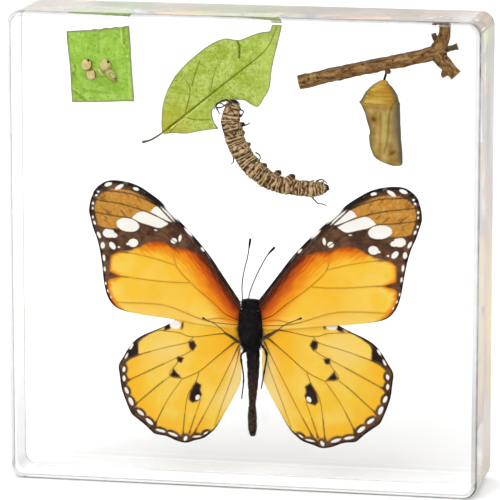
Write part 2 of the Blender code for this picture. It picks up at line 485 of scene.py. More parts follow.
def forewing_fields(flat, edge, from_lead, from_trail):
    """Dark border and zone, ochre tip, rust that fades from the leading edge and the dark zone. The
    border is drawn inwards where a vein meets it, which rounds the yellow fields between veins."""
    x, z = flat[..., 0], flat[..., 1]
    zone = inside_depth(flat, np.array(FOREWING_DARK))
    zone = np.where(zone < 0, 0.4 * zone, zone)
    ochre = inside_depth(flat, np.array(FOREWING_OCHRE))
    vein = nearest_vein(flat, FOREWING_VEINS)
    patches = [inside_depth(flat, smooth_line(p + p[:1], 50)[:-1]) for p in FOREWING_PATCHES]
    white = np.maximum(ovals_depth(flat, FOREWING_WHITE), np.max(patches, axis=0))
    outer = np.where((x < -19) & (z > 30) & (z < 37.5), 0.9 * ramp(from_trail, 2.8, 0) - vein, -1.0)
    lined = np.where((ochre > -0.2) | (white > -0.3), 0.07 - vein, -0.1 - vein)
    dark = smooth_max(edge, np.minimum(zone, -ochre), outer, lined)
    away = np.linalg.norm(flat - np.array(FOREWING_ROOT), axis=-1)
    by_lead = 1.85 * fade(from_lead - 0.8, 1.8)
    by_fringe = 0.62 * fade(-np.maximum(edge, outer), 0.6) * ramp(x, -19, -21) * ramp(z, 39.5, 38.5)
    by_zone = 1.1 * np.clip((x + 19.0) / 4.0, 0.25, 1.0) * fade(-zone / 0.4, 1.3)
    by_root = 0.9 * fade(away - 1.0, 2.2) * np.clip(from_trail / 1.6, 0.3, 1)
    return {"dark": dark, "ochre": ochre, "white": np.minimum(white, vein - 0.055),
            "rust": np.maximum.reduce([by_fringe, by_lead, by_zone, by_root]),
            "black": np.clip(1.2 - from_lead / 0.9, 0, 1) + 0.5 * soft(vein, 0.2) + soft(from_trail, 0.3),
            "costal": np.clip(1.15 - from_lead / 1.3, 0, 1),
            "seam": soft(vein, 0.14), "from_vein": vein,
            "deep": 0.45 * np.exp(-(away - 12) ** 2 / 50),
            "pale": 0.35 * soft(from_trail, 2.5) * ramp(x, -21, -19)}


def hindwing_fields(flat, edge, from_lead, from_trail):
    """A dark arch round each pale dot of the border and a dark wedge on each vein that meets it,
    dark spots at the cell end, deeper yellow outwards and pale yellow next to the body."""
    x, z = flat[..., 0], flat[..., 1]
    spots = np.maximum(ovals_depth(flat, HINDWING_BLACK),
                       np.max([inside_depth(flat, np.array(spot)) for spot in HINDWING_SPOTS], axis=0))
    arches = [(a, b, long + 0.95, wide + 0.85, tilt) for a, b, long, wide, tilt in HINDWING_DOTS]
    dots = [(a, b, 1.15 * long, 1.1 * wide, tilt) for a, b, long, wide, tilt in HINDWING_DOTS]
    vein = nearest_vein(flat, HINDWING_VEINS)
    costal_vein = to_line(flat, smooth_line(HINDWING_VEINS[0][1], 12))
    depth = np.minimum(from_lead, from_trail)
    outer = (x < -13.5) & (z < 20.5) | (z < 10.5) & (x < -6.5)
    wedge = np.where(outer, 0.55 * ramp(depth, 2.0, 0) - vein, -1.0)
    away = np.linalg.norm(flat - np.array(HINDWING_ROOT), axis=-1)
    root = np.maximum(0.38 * ramp(away, 4.2, 0) - 0.06 - costal_vein,
                      0.2 * ramp(away, 3.0, 0) - 0.06 - vein)
    low_left = np.maximum(ramp(x, -12, -15) * ramp(z, 21, 19), ramp(z, 13, 9) * ramp(x, -5, -7))
    beside_body = 0.95 * soft(from_trail, 2.2) * ramp(z, 9.5, 13.5) * ramp(z, 22.5, 18.5)
    clearing = 0.5 * np.exp(-((x + 13) ** 2 + (z - 21) ** 2) / 14)
    black = np.maximum.reduce([np.clip(spots * 3, 0, 0.75), soft(depth, 0.3), 0.7 * soft(away, 4.0)])
    none = np.zeros_like(vein)
    return {"dark": smooth_max(edge, spots, ovals_depth(flat, arches), wedge, root), "ochre": none - 2,
            "white": np.maximum(ovals_depth(flat, HINDWING_WHITE), ovals_depth(flat, dots)),
            "black": black, "costal": none, "rust": 0.25 * fade(away, 1.1),
            "seam": soft(vein, 0.1), "from_vein": vein,
            "deep": 0.75 * soft(depth - 1.2, 2.4) * low_left + 0.95 * soft(away, 5.5),
            "pale": np.maximum(beside_body, clearing)}


def forewing_light(path):
    """Veins are amber out on the yellow, brown near the root, the tip and the leading edge."""
    x, z = path[:, 0], path[:, 1]
    return (ramp(np.hypot(x + 1.0, z - 26.0), 3.0, 9.0) * ramp(z, 38.0, 36.5) * ramp(x, -22.0, -20.5)
            * ramp(to_line(path, np.array(FOREWING_LEADING)), 2.0, 3.5))


def hindwing_light(path):
    """The same brown all over, with a little amber in it."""
    return np.full(len(path), 0.25)


FOREWING_GRID, HINDWING_GRID = (300, 160), (270, 150)  # rows and columns
VEIN_STEPS, VEIN_SIDES = 40, 6
wing_scales, wing_vein = wing_finish(), vein_finish()
# Width of the dark border at shares of the way along the leading edge, then the trailing edge.
FOREWING_BORDER = ([(0, 0.55), (0.3, 0.85), (0.55, 0.95), (0.68, 1.1), (0.8, 1.25), (0.93, 1.4), (1, 1.15)],
                   [(0, -0.3), (0.42, -0.1), (0.48, 0.1), (0.53, 0.3), (0.574, 0.4), (0.626, 0.55),
                    (0.657, 0.7), (0.695, 1.1), (0.752, 1.4), (0.81, 1.3), (0.853, 0.95), (1, 0.85)])
HINDWING_BORDER = ([(0, -0.5), (0.28, 0.05), (0.36, 0.12), (0.44, 0.25), (0.5, 0.5), (0.56, 0.85), (1, 1.0)],
                   [(0, -0.5), (0.4, -0.02), (0.5, 0.1), (0.58, 0.3), (0.66, 0.5), (0.72, 0.85), (1, 1.0)])
vein_tubes, vein_light = [], []
for word, fore_side, hind_side in (("left", AS_LEFT, AS_LEFT),
                                   ("right", FOREWING_TO_RIGHT, HINDWING_TO_RIGHT)):
    wing(word + "_forewing", fore_side, FOREWING_LIFT, FOREWING_LEADING, FOREWING_TRAILING,
         FOREWING_BORDER, forewing_fields, wing_scales, FOREWING_GRID)
    wing(word + "_hindwing", hind_side, HINDWING_LIFT, HINDWING_LEADING, HINDWING_TRAILING,
         HINDWING_BORDER, hindwing_fields, wing_scales, HINDWING_GRID)
    for side, lift, veins, lightness in ((fore_side, FOREWING_LIFT, FOREWING_VEINS, forewing_light),
                                         (hind_side, HINDWING_LIFT, HINDWING_VEINS, hindwing_light)):
        for radius, line in veins:
            path = smooth_line(line, VEIN_STEPS)
            vein_light.append(np.repeat(lightness(path), VEIN_SIDES))
            path = set_on(side, path)
            path = in_plane(path, wing_depth(path, lift) - 0.05)
            taper = radius * np.linspace(0.72, 0.42, VEIN_STEPS)
            vein_tubes.append(tube(path, closed(taper), VEIN_SIDES, flat=2.2))
make_piece("wing_veins", *joined(vein_tubes), wing_vein, {"light": np.concatenate(vein_light)})

# ---------------------------------------------------------------------------------------------
# Body: head, thorax and abdomen of hard black cuticle under fine hair, with clubbed antennae and
# thin jointed legs, two trailing and two over the wing bases. The abdomen's end is browner.
# ---------------------------------------------------------------------------------------------


def furred_finish():
    """Black cuticle, rubbed brown where the field called brown says so, with a few white dots."""
    body = Finish("black_cuticle", Roughness=0.5)
    tone = body.tones(1.5, 3, 0.35, 0.7, (14, 14, 18), (34, 31, 34))
    wear_and_painted_shade = body.maths("MULTIPLY", body.field("brown"), body.step(body.noise(2.4, 4), 0.3, 0.6))
    tone = body.mix(wear_and_painted_shade, tone, srgb(82, 62, 52))
    body.colour(body.mix(body.step(body.field("pale"), -0.03, 0.03), tone, srgb(236, 232, 226)))
    body.relief(body.noise(6, 4), 0.06, 0.8)
    return body.material


def hair_finish():
    """Black hair with brown tufts."""
    hair = Finish("body_hair", Roughness=0.55)
    hair.colour(hair.tones(1.2, 2, 0.45, 0.75, (20, 19, 23), (54, 46, 44)))
    return hair.material


def hairs(roots, normals, lengths, width, lean, rings=4):
    """Tapered three-sided hairs: point (h, t) leaves the root along its normal and bends over by
    lean t squared, its side shrinking to nothing at t = 1."""
    t = np.linspace(0, 1, rings)[None, :, None, None]
    other = np.cross(normals, [0.3, 0.5, 0.8])
    other /= np.linalg.norm(other, axis=1, keepdims=True)
    third = np.cross(normals, other)
    turn = turns(3)[None, :, None]
    ring = other[:, None] * np.cos(turn) + third[:, None] * np.sin(turn)
    length = np.asarray(lengths)[:, None, None, None]
    spine = roots[:, None, None] + length * (normals[:, None, None] * t + lean[:, None, None] * t**2)
    points = spine + width * (1 - t) * ring[:, None]
    step = np.arange(len(roots))[:, None, None] * rings * 3
    return points, (grid_faces(rings, 3, wrap=True)[None] + step).reshape(-1, 4)


def ball(centre, radii, rows=24, sides=32):
    """Ellipsoid: rings of latitude from pole to pole along z."""
    tilt = np.linspace(0, math.pi, rows)[:, None]
    turn = turns(sides)[None]
    unit = np.stack([np.sin(tilt) * np.cos(turn), np.sin(tilt) * np.sin(turn),
                     np.cos(tilt) + 0 * turn], -1)
    return np.array(centre) + unit * np.array(radii), grid_faces(rows, sides, wrap=True)


cuticle, body_hair = furred_finish(), hair_finish()
# Rows are z, x and half-width, down the body.
THORAX = [(29.65, 0.6, 0.3), (29.5, 0.6, 1.15), (29.0, 0.6, 1.45), (28.5, 0.6, 1.45), (28.0, 0.58, 1.7),
          (26.5, 0.55, 1.95), (24.5, 0.58, 2.0), (22.9, 0.62, 1.8), (21.8, 0.75, 1.4), (21.2, 0.85, 1.0)]
ABDOMEN = [(22.4, 0.85, 0.8), (21.2, 0.95, 1.08), (19.0, 1.02, 1.02), (16.5, 0.98, 0.88), (14.0, 0.92, 0.66),
           (12.5, 0.86, 0.52), (11.9, 0.85, 0.64), (10.5, 0.87, 0.72), (8.8, 0.9, 0.7), (7.8, 0.92, 0.5),
           (7.4, 0.92, 0.2)]
draw = np.random.default_rng(11)  # places and directions of the hairs
# Outline, rows of the grid, creases between its rings, number of hairs, shortest and longest hair.
BODY_PARTS = ((THORAX, 70, 0, 3600, 0.35, 0.75), (ABDOMEN, 130, 9, 1500, 0.14, 0.3))
BODY_SIDES, BODY_FLATNESS = 40, 0.95
WHITE_DOTS = [(-0.75, 28.1, 0.3, 0.22, 0), (-0.95, 27.5, 0.16, 0.16, 0), (0.3, 29.2, 0.2, 0.15, 0),
              (1.9, 27.9, 0.22, 0.18, 0), (2.1, 25.6, 0.16, 0.16, 0), (-0.9, 25.2, 0.16, 0.16, 0)]
body_parts, brown, pale = [], [], []
hair_roots, hair_normals, hair_lengths = [], [], []
for stops, rows, creases, hair_count, shortest, longest in BODY_PARTS:
    line = smooth_line(stops, rows)
    path = in_plane(line[:, [1, 0]], BED)
    crease = np.abs(np.sin(math.pi * creases * np.linspace(0, 1, rows))) ** 8
    half = line[:, 2] * (1 - 0.07 * crease)
    points, faces = tube(path, closed(half), BODY_SIDES, flat=BODY_FLATNESS)
    body_parts.append((points, faces))
    brown.append(np.clip((20.4 - points[..., 2]) / 8.0, 0, 0.85).ravel())
    behind = points[..., 1] > BED
    pale.append((ovals_depth(points[..., [0, 2]], WHITE_DOTS) - behind * 3.0).ravel())
    row = draw.integers(1, rows - 1, hair_count)
    column = draw.integers(0, BODY_SIDES, hair_count)
    out = points[row, column] - path[row]
    hair_roots.append(points[row, column])
    hair_normals.append(out / np.linalg.norm(out, axis=1, keepdims=True))
    hair_lengths.append(draw.uniform(shortest, longest, hair_count))
make_piece("body", *joined(body_parts), cuticle,
           {"brown": np.concatenate(brown), "pale": np.concatenate(pale)})

HAIR_RADIUS, HAIR_SINK, HAIR_DROOP, HAIR_SPREAD = 0.022, 0.05, -0.55, 0.25
roots, normals = np.concatenate(hair_roots), np.concatenate(hair_normals)
lean = np.stack([draw.normal(0, HAIR_SPREAD, len(roots)), draw.normal(0, HAIR_SPREAD, len(roots)),
                 HAIR_DROOP + draw.normal(0, HAIR_SPREAD, len(roots))], -1)
make_piece("body_hair", *hairs(roots - normals * HAIR_SINK, normals, np.concatenate(hair_lengths),
                               HAIR_RADIUS, lean), body_hair)

EYE_RADII = (0.42, 0.55, 0.5)
EYES = [(-0.35, BED - 0.1, 28.95), (1.55, BED - 0.1, 28.95)]
eye = Finish("eyes", Roughness=0.25)
eye.colour(eye.tones(3, 2, 0.4, 0.6, (20, 12, 10), (48, 28, 20)))
eye.relief(eye.node("ShaderNodeTexVoronoi", Vector=eye.place(), Scale=14.0)[0], 0.03, 0.7)
make_piece("eyes", *joined([ball(centre, EYE_RADII) for centre in EYES]), eye.material)

ANTENNAE = ([(-0.7, 29.3), (-0.74, 31.9), (-0.4, 34.2), (0.14, 36.4), (0.6, 39.4)],
            [(0.25, 29.3), (0.5, 30.7), (1.2, 32.6), (2.07, 34.5), (3.35, 36.8), (4.55, 38.15)])
# Legs: greatest radius and route. Two trail behind the body, two lie over the wing bases.
TRAILING_LEGS = ((0.15, [(0.0, 22.0), (-0.4, 21.2), (-0.85, 20.3), (-0.45, 16.9), (-0.8, 13.4)]),
                 (0.16, [(2.1, 23.0), (2.6, 22.2), (3.3, 20.9), (2.7, 17.2), (2.35, 15.2)]))
SPREAD_LEGS = ((0.13, [(-0.9, 22.6), (-3.4, 24.1), (-4.9, 25.3), (-7.2, 26.35)]),
               (0.13, [(2.0, 22.9), (4.4, 24.4), (6.3, 25.8), (8.9, 26.95)]))
ANTENNA_STEPS, LEG_STEPS, LIMB_SIDES = 90, 80, 10
BLACK_LIMB, BROWN_LIMB = 0.12, 3.0
limbs, limb_brown = [], []
share = np.linspace(0, 1, ANTENNA_STEPS)
antenna_width = 0.09 + 0.1 * ramp(share, 0.8, 0.92) ** 1.5 + 0.006 * np.sin(share * 220)
for route in ANTENNAE:
    path = in_plane(smooth_line(route, ANTENNA_STEPS), BED - 0.3)
    limbs.append(tube(path, closed(antenna_width), LIMB_SIDES))
    limb_brown.append(np.full(ANTENNA_STEPS * LIMB_SIDES, BLACK_LIMB))
share = np.linspace(0, 1, LEG_STEPS)
for thick, route in TRAILING_LEGS:
    path = in_plane(smooth_line(route, LEG_STEPS), BED - 1.0 + 0.5 * share)
    joints = 1 + 0.45 * soft(share - 0.28, 0.03) + 0.3 * soft(share - 0.66, 0.03)
    limbs.append(tube(path, closed(thick * joints * np.linspace(1.1, 0.6, LEG_STEPS)), LIMB_SIDES))
    limb_brown.append(np.full(LEG_STEPS * LIMB_SIDES, BLACK_LIMB))
for thick, route in SPREAD_LEGS:
    flat = smooth_line(route, LEG_STEPS)
    path = in_plane(flat, wing_depth(flat, FOREWING_LIFT) - 0.09 - 0.3 * ramp(share, 0.25, 0))
    joints = 0.5 + 0.9 * ramp(share, 0.36, 0.26) + 0.8 * soft(share - 0.965, 0.04)
    limbs.append(tube(path, closed(thick * joints), LIMB_SIDES))
    limb_brown.append(np.full(LEG_STEPS * LIMB_SIDES, BROWN_LIMB))
limb_brown = np.concatenate(limb_brown)
make_piece("antennae_and_legs", *joined(limbs), cuticle,
           {"brown": limb_brown, "pale": np.full(len(limb_brown), -1.0)})

# ---------------------------------------------------------------------------------------------
# Leaf square: a piece cut from a fresh leaf with scissors, 0.14 mm thick, pressed flat with
# one short fold near its right edge. Its top is a torn cut, and the blade shows blotchy cells.
# ---------------------------------------------------------------------------------------------
SQUARE_TOP = [(-28.95, 71.35), (-26.4, 71.55), (-25.2, 71.62), (-24.4, 71.85), (-23.6, 71.78),
              (-22.7, 72.05), (-21.9, 72.0), (-21.1, 72.22), (-20.3, 72.2), (-19.4, 72.42), (-18.85, 72.5)]
SQUARE_BOTTOM = [(-28.1, 60.1), (-25.5, 60.15), (-22.5, 60.3), (-20.0, 60.45), (-18.1, 60.5)]
SQUARE_FOLD = [(-20.15, 72.3), (-20.1, 71.0), (-20.1, 69.8), (-19.6, 69.1)]
SQUARE_GRID = (110, 100)
LEAF_THICKNESS = 0.14
# Marks: strength, width and line.
SQUARE_STAINS = [(0.6, 0.3, [(-27.7, 66.0), (-27.55, 65.3), (-27.75, 64.6)]),
                 (0.45, 0.28, [(-28.1, 64.8), (-28.2, 63.6)]),
                 (0.5, 0.3, [(-27.7, 61.8), (-26.6, 60.9), (-26.0, 60.5)]),
                 (0.4, 0.28, [(-26.2, 62.0), (-24.3, 61.9), (-22.2, 61.7)]),
                 (0.35, 0.16, [(-24.0, 63.6), (-23.3, 62.9)]),
                 (0.3, 0.3, [(-23.9, 71.6), (-23.7, 67.6)]),
                 (0.3, 0.2, [(-20.0, 69.6), (-19.5, 68.2), (-19.3, 66.2)]),
                 (0.4, 0.25, [(-19.73, 72.05), (-19.68, 70.75), (-19.68, 69.55)])]
SQUARE_PALE = [(0.75, 0.1, SQUARE_FOLD),
               (0.5, 0.13, [(-27.9, 62.3), (-26.8, 61.5)]),
               (0.4, 0.35, [(-18.9, 64.5), (-18.7, 61.0)])]


def leaf_finish(name, deep, bright, netted):
    """Green blade: blotches between two greens, a net of fine veins, and fields for the larger
    veins and stains, the dry rim and the pale folds."""
    leaf = Finish(name, Roughness=0.42)
    blade = leaf.tones(0.5, 5, 0.36, 0.64, deep, bright)
    flecks = leaf.noise(1.9, 5, None, 0.65)
    darker, lighter = [c * 0.9 for c in deep], [min(c * 1.08, 255) for c in bright]
    blade = leaf.mix(leaf.step(flecks, 0.5, 0.66), blade, srgb(*darker))
    blade = leaf.mix(leaf.step(flecks, 0.42, 0.3), blade, srgb(*lighter))
    shift = leaf.node("ShaderNodeTexNoise", Vector=leaf.place(), Scale=1.5)["Color"]
    warped = leaf.node("ShaderNodeVectorMath", {"operation": "ADD"}, _0=leaf.place((1, 0.2, 1)), _1=shift)[0]
    net = 0
    for scale, width in ((0.9, 0.09), (2.4, 0.12)):
        cells = leaf.node("ShaderNodeTexVoronoi", {"feature": "DISTANCE_TO_EDGE"}, Vector=warped, Scale=scale)
        walls = leaf.maths("MULTIPLY", leaf.step(cells["Distance"], width, 0.0), 0.5)
        net = leaf.maths("ADD", net, walls)
    blade = leaf.mix(leaf.maths("MULTIPLY", net, netted), blade, srgb(96, 120, 20))
    blade = leaf.mix(leaf.field("gold"), blade, srgb(200, 184, 50))
    stain = leaf.maths("MULTIPLY", leaf.field("stain"), leaf.maths("ADD", leaf.noise(1.4, 3), 0.45))
    blade = leaf.mix(leaf.step(stain, 0.0, 1.0), blade, srgb(92, 104, 14))
    blade = leaf.mix(leaf.step(leaf.field("pale"), 0.1, 0.8), blade, srgb(214, 232, 124))
    rim = leaf.maths("MULTIPLY_ADD", leaf.noise(1.2, 3), 0.22, leaf.field("rim"))
    blade = leaf.mix(leaf.step(rim, 0.36, 0.16), blade, srgb(138, 142, 108))
    leaf.colour(blade)
    leaf.relief(leaf.maths("ADD", leaf.noise(1.5, 5), net), 0.05, 0.5)
    return leaf.material


def from_rim(sheet):
    """Distance of each point of a sheet's grid from its outline."""
    outline = rim_of(sheet)
    return to_line(sheet, np.vstack([outline, outline[:1]]))


def marks(points, lines):
    """Soft marks along lines, added up: strength times a bell of the distance from each line."""
    return sum(strength * soft(to_line(points, np.array(line)), width) for strength, width, line in lines)


def blade_piece(name, sheet, depth, material, **fields):
    """A leaf: the sheet of (x, z) points at its depth, as a closed shell, with fields on both faces."""
    points, faces = shell(in_plane(sheet, depth), LEAF_THICKNESS)
    return make_piece(name, points, faces, material,
                      {key: np.tile(value.ravel(), 2) for key, value in fields.items()})


rows, columns = SQUARE_GRID
share_down = np.linspace(0, 1, rows)[:, None, None]
top_edge, bottom_edge = smooth_line(SQUARE_TOP, columns), smooth_line(SQUARE_BOTTOM, columns)
square = top_edge[None] * (1 - share_down) + bottom_edge[None] * share_down
square[..., 0] += 0.06 * np.sin(share_down[..., 0] * 9.0) * np.linspace(-0.6, 0.6, columns)[None]
square_rim = from_rim(square)
fold = to_line(square, np.array(SQUARE_FOLD))
square_depth = BED + 0.1 + 0.1 * np.sin(square[..., 0] * 1.1 + square[..., 1] * 0.7) - 0.16 * soft(fold, 0.3)
blade_piece("leaf_square", square, square_depth,
            leaf_finish("leaf_square_tissue", (150, 196, 66), (174, 213, 96), 0.08),
            rim=0.7 * square_rim, stain=marks(square, SQUARE_STAINS), pale=marks(square, SQUARE_PALE),
            gold=0 * square_rim)

# ---------------------------------------------------------------------------------------------
# Eggs: four barrel-shaped, upright-ribbed egg shells, partly hatched and shrunken, stuck on the
# leaf square. Their tops are dark where the head showed through, and they are browner towards their
# outline and their top.
# ---------------------------------------------------------------------------------------------
# Rows are x, z, width, height, tilt, how dark the top, how brown the side, and how green. The two
# last ones are a shrunken egg, hollow on top, and the crumb of shell beside it.
EGGS = [(-25.65, 66.2, 1.62, 1.85, 78, 0.9, 0.75, 0.0), (-24.95, 64.6, 1.5, 1.75, 100, 0.15, 0.9, 0.1),
        (-22.65, 66.2, 1.6, 1.95, 60, 1.0, 0.35, 0.5), (-21.7, 64.65, 1.2, 2.3, -42, 0.2, 0.6, 1.0),
        (-23.4, 65.0, 0.5, 1.3, -52, 0.0, 0.1, 0.6)]
EGG_RIBS, EGG_ROWS, EGG_SIDES = 16, 40, 96
HOLLOW_EGG = 3


def egg_finish():
    """Parchment-coloured shell, made greenish, brown and nearly black by three fields."""
    egg = Finish("egg_shell", Roughness=0.38)
    tone = egg.tones(1.6, 3, 0.35, 0.7, (228, 212, 154), (204, 182, 124))
    tone = egg.mix(egg.maths("MULTIPLY", egg.field("green"), 0.6), tone, srgb(176, 180, 104))
    browned = egg.maths("ADD", egg.field("side"), egg.maths("MULTIPLY", egg.noise(2.5, 3), 0.35))
    tone = egg.mix(egg.step(browned, 0.25, 0.72), tone, srgb(140, 98, 42))
    egg.colour(egg.mix(egg.step(egg.field("spot"), 0.2, 0.7), tone, srgb(62, 50, 18)))
    egg.relief(egg.noise(5, 3), 0.03, 0.4)
    return egg.material


egg_meshes, egg_fields = [], {"green": [], "side": [], "spot": []}
height = np.linspace(-1, 1, EGG_ROWS)[:, None]
turn = turns(EGG_SIDES)[None]
girth = np.sqrt(np.clip(1 - np.abs(height) ** 2.6, 0, 1)) * (1 - 0.05 * np.cos(EGG_RIBS * turn))
# Browner towards the outline seen from the front, more so on one side, and towards the top.
rim_brown = np.clip(1 - girth * np.sin(turn) / 0.7, 0, 1) * (0.75 + 0.25 * np.sign(np.cos(turn)))
top_brown = ramp(height, 0.45, 1.05) * 0.7
for number, (x, z, across, tall, tilt, dark_top, side_brown, green) in enumerate(EGGS):
    u, v = girth * np.cos(turn) * across / 2, height * tall / 2 + 0 * turn
    c, s = math.cos(math.radians(tilt - 90)), math.sin(math.radians(tilt - 90))
    points = np.stack([x + u * c - v * s, BED - 0.45 - girth * np.sin(turn) * across * 0.36,
                       z + u * s + v * c], -1)
    egg_meshes.append((points, grid_faces(EGG_ROWS, EGG_SIDES, wrap=True)))
    spot = dark_top * soft(np.hypot(u - across * 0.12, v - tall * 0.38), 0.22)
    if number == HOLLOW_EGG:
        hollow = np.hypot((u + 0.1) / 0.34, (v - 0.25) / 0.62)
        spot = spot + 0.5 * soft(hollow - 1, 0.25) * (np.sin(turn) > 0)
    egg_fields["spot"].append(spot.ravel())
    egg_fields["side"].append((side_brown * np.maximum(rim_brown, top_brown)).ravel())
    egg_fields["green"].append(np.full(EGG_ROWS * EGG_SIDES, green))
make_piece("eggs", *joined(egg_meshes), egg_finish(),
           {key: np.concatenate(value) for key, value in egg_fields.items()})

# ---------------------------------------------------------------------------------------------
# Whole leaf: a pointed leaf on its stalk, dried flat, its tip cut square and its lower side eaten
# away round the larva. Midrib and side veins stand out of the blade as round cords.
# ---------------------------------------------------------------------------------------------
# Each row is a place on the upper edge and the place on the lower edge opposite to it.
LEAF_EDGES = [(-13.75, 55.75, -13.3, 55.35), (-13.8, 57.2, -12.0, 55.6), (-13.6, 59.7, -9.8, 55.6),
              (-12.9, 62.2, -7.3, 56.15), (-11.7, 64.5, -5.2, 56.5), (-11.4, 64.9, -4.6, 56.6),
              (-10.9, 65.5, -5.2, 57.3), (-9.9, 66.6, -5.65, 59.2), (-8.6, 67.8, -4.8, 60.4),
              (-6.6, 69.4, -2.6, 61.1), (-4.9, 70.4, -0.6, 61.2), (-3.4, 70.85, 0.4, 60.65),
              (-2.2, 70.7, 1.7, 60.25), (-1.2, 70.7, 2.8, 61.9), (-0.2, 71.1, 3.5, 63.2),
              (1.0, 71.6, 3.8, 65.6), (2.3, 72.0, 4.2, 67.8), (3.5, 72.2, 4.8, 70.2),
              (3.8, 72.8, 5.2, 71.8), (4.0, 73.2, 5.5, 73.2)]
LEAF_MIDRIB = [(-17.0, 54.0), (-15.6, 54.4), (-14.4, 55.1), (-13.6, 55.7), (-10.0, 58.6), (-4.0, 63.5),
               (1.6, 68.0), (3.4, 70.0), (4.7, 72.9)]
# Side veins: greatest radius and line.
LEAF_VEINS = [(0.09, [(-9.95, 58.8), (-9.4, 61.0), (-9.2, 62.8), (-9.8, 63.9)]),
              (0.09, [(-8.9, 63.1), (-8.4, 65.0), (-7.6, 67.2)]),
              (0.07, [(-5.9, 62.3), (-5.6, 64.0), (-5.0, 66.2), (-4.6, 67.6)]),
              (0.14, [(-1.6, 70.6), (-1.25, 69.6), (-1.3, 67.9)]),
              (0.08, [(-12.5, 55.7), (-11.2, 57.15), (-10.0, 58.2), (-8.6, 57.9), (-5.8, 57.95)]),
              (0.05, [(-0.2, 66.2), (1.2, 65.8), (3.5, 65.6)])]
LEAF_BASE = (-13.5, 55.6)  # where the stalk meets the blade
LEAF_GRID = (200, 100)
# Dark specks, as ovals.
LEAF_SPECKS = [(-11.35, 64.0, 0.5, 0.45, 0), (-3.5, 68.9, 0.45, 0.4, 0), (-12.0, 62.8, 0.6, 0.3, 60),
               (0.2, 68.8, 0.4, 0.3, 0), (1.0, 64.2, 0.35, 0.3, 0), (2.4, 61.7, 0.5, 0.3, 30)]
MIDRIB_READINGS, PALE_STRETCH = 120, slice(22, 66)  # the blade is paler below that stretch of the midrib
MIDRIB_STEPS, RIB_STEPS, RIB_SIDES = 160, 40, 10


def leaf_depth(points):
    """The dried blade is gently cupped and waved."""
    x, z = points[..., 0], points[..., 1]
    return BED + 0.5 + 0.12 * np.sin(0.55 * x - 0.3 * z) + 0.1 * np.sin(0.9 * z + 0.4 * x)


def rib_finish():
    """Olive ribs; the field called stalk turns the leaf's stalk grey."""
    rib = Finish("leaf_ribs", Roughness=0.55)
    tone = rib.tones(1.1, 3, 0.35, 0.7, (98, 98, 8), (134, 132, 24))
    rib.colour(rib.mix(rib.field("stalk"), tone, srgb(98, 92, 78)))
    rib.relief(rib.noise(6, 3), 0.03, 0.6)
    return rib.material


rows, columns = LEAF_GRID
edges = smooth_line(LEAF_EDGES, rows)
share = np.linspace(0, 1, columns)[None, :, None]
leaf = edges[:, None, :2] * (1 - share) + edges[:, None, 2:] * share
midrib = smooth_line(LEAF_MIDRIB, MIDRIB_READINGS)
from_midrib = to_line(leaf, midrib)
from_base = np.linalg.norm(leaf - np.array(LEAF_BASE), axis=-1)
stain = 0.9 * soft(from_midrib, 0.07 + 0.12 * np.exp(-from_base / 12)) + 0.2 * soft(from_midrib, 0.3)
for radius, line in LEAF_VEINS:
    stain = np.maximum(stain, 8 * radius * soft(to_line(leaf, smooth_line(line, 20)), radius * 1.3))
stain = np.maximum(stain, np.clip(ovals_depth(leaf, LEAF_SPECKS) * 5, 0, 0.6))
beside_midrib = to_line(leaf, midrib[PALE_STRETCH] + [0.2, -0.27])
pale = 1.3 * soft(beside_midrib, 0.15) * np.exp(-from_base / 7) * (from_base > 0.6)
pale += 0.38 * ramp(leaf[..., 0], -1.0, 3.0)
gold = 0.45 * soft(from_base, 3.6) + 0.2 * soft(from_base, 8.0)
blade_piece("leaf", leaf, leaf_depth(leaf),
            leaf_finish("leaf_tissue", (170, 194, 72), (198, 216, 112), 0.5),
            rim=from_rim(leaf), stain=stain, pale=pale, gold=gold)

step = np.arange(MIDRIB_STEPS)
midrib_width = 0.04 + 0.11 * np.exp(-((step - 8) / 50.0).clip(0) ** 1.2) + 0.08 * soft(step, 5)
ribs = [(smooth_line(LEAF_MIDRIB, MIDRIB_STEPS), midrib_width)]
ribs += [(smooth_line(line, RIB_STEPS), radius * np.linspace(0.6, 0.3, RIB_STEPS))
         for radius, line in LEAF_VEINS]
rib_tubes, stalk = [], []
for path, width in ribs:
    depth = leaf_depth(path) - LEAF_THICKNESS / 2 + 0.02
    rib_tubes.append(tube(in_plane(path, depth), closed(width), RIB_SIDES, flat=0.9))
    stalk.append(np.repeat(ramp(path[:, 0], -13.4, -14.1), RIB_SIDES))
make_piece("leaf_midrib_and_veins", *joined(rib_tubes), rib_finish(), {"stalk": np.concatenate(stalk)})

# ---------------------------------------------------------------------------------------------
# Larva: a dried, curled larva of the same species, its skin shrunk into close rings, with painted
# shade in their creases. Short feet stand on the inner side of the bend; thin black filaments on the back.
# ---------------------------------------------------------------------------------------------
# Rows are x, z and half-width.
LARVA = [(-1.95, 61.15, 0.5), (-2.2, 60.5, 1.15), (-2.45, 59.3, 1.42), (-2.55, 57.8, 1.55),
         (-2.05, 55.6, 1.6), (-1.1, 53.4, 1.58), (0.55, 51.0, 1.62), (3.2, 48.9, 1.55),
         (5.6, 48.0, 1.38), (8.3, 47.6, 1.3), (10.2, 47.55, 1.3), (11.6, 47.65, 1.08),
         (12.6, 47.75, 0.7), (13.1, 47.75, 0.3)]


def ripple(along, turn, waves, seed):
    """Smooth wrinkles on a tube: a sum of sines of both parameters, whole round the turn."""
    own = np.random.default_rng(seed)
    total = 0
    for _ in range(waves):
        along_rate, turn_rate = own.uniform(0.6, 3.2), own.integers(-5, 6)
        total = total + np.sin(along_rate * along + turn_rate * turn + own.uniform(0, 6.3))
    return total / waves**0.5


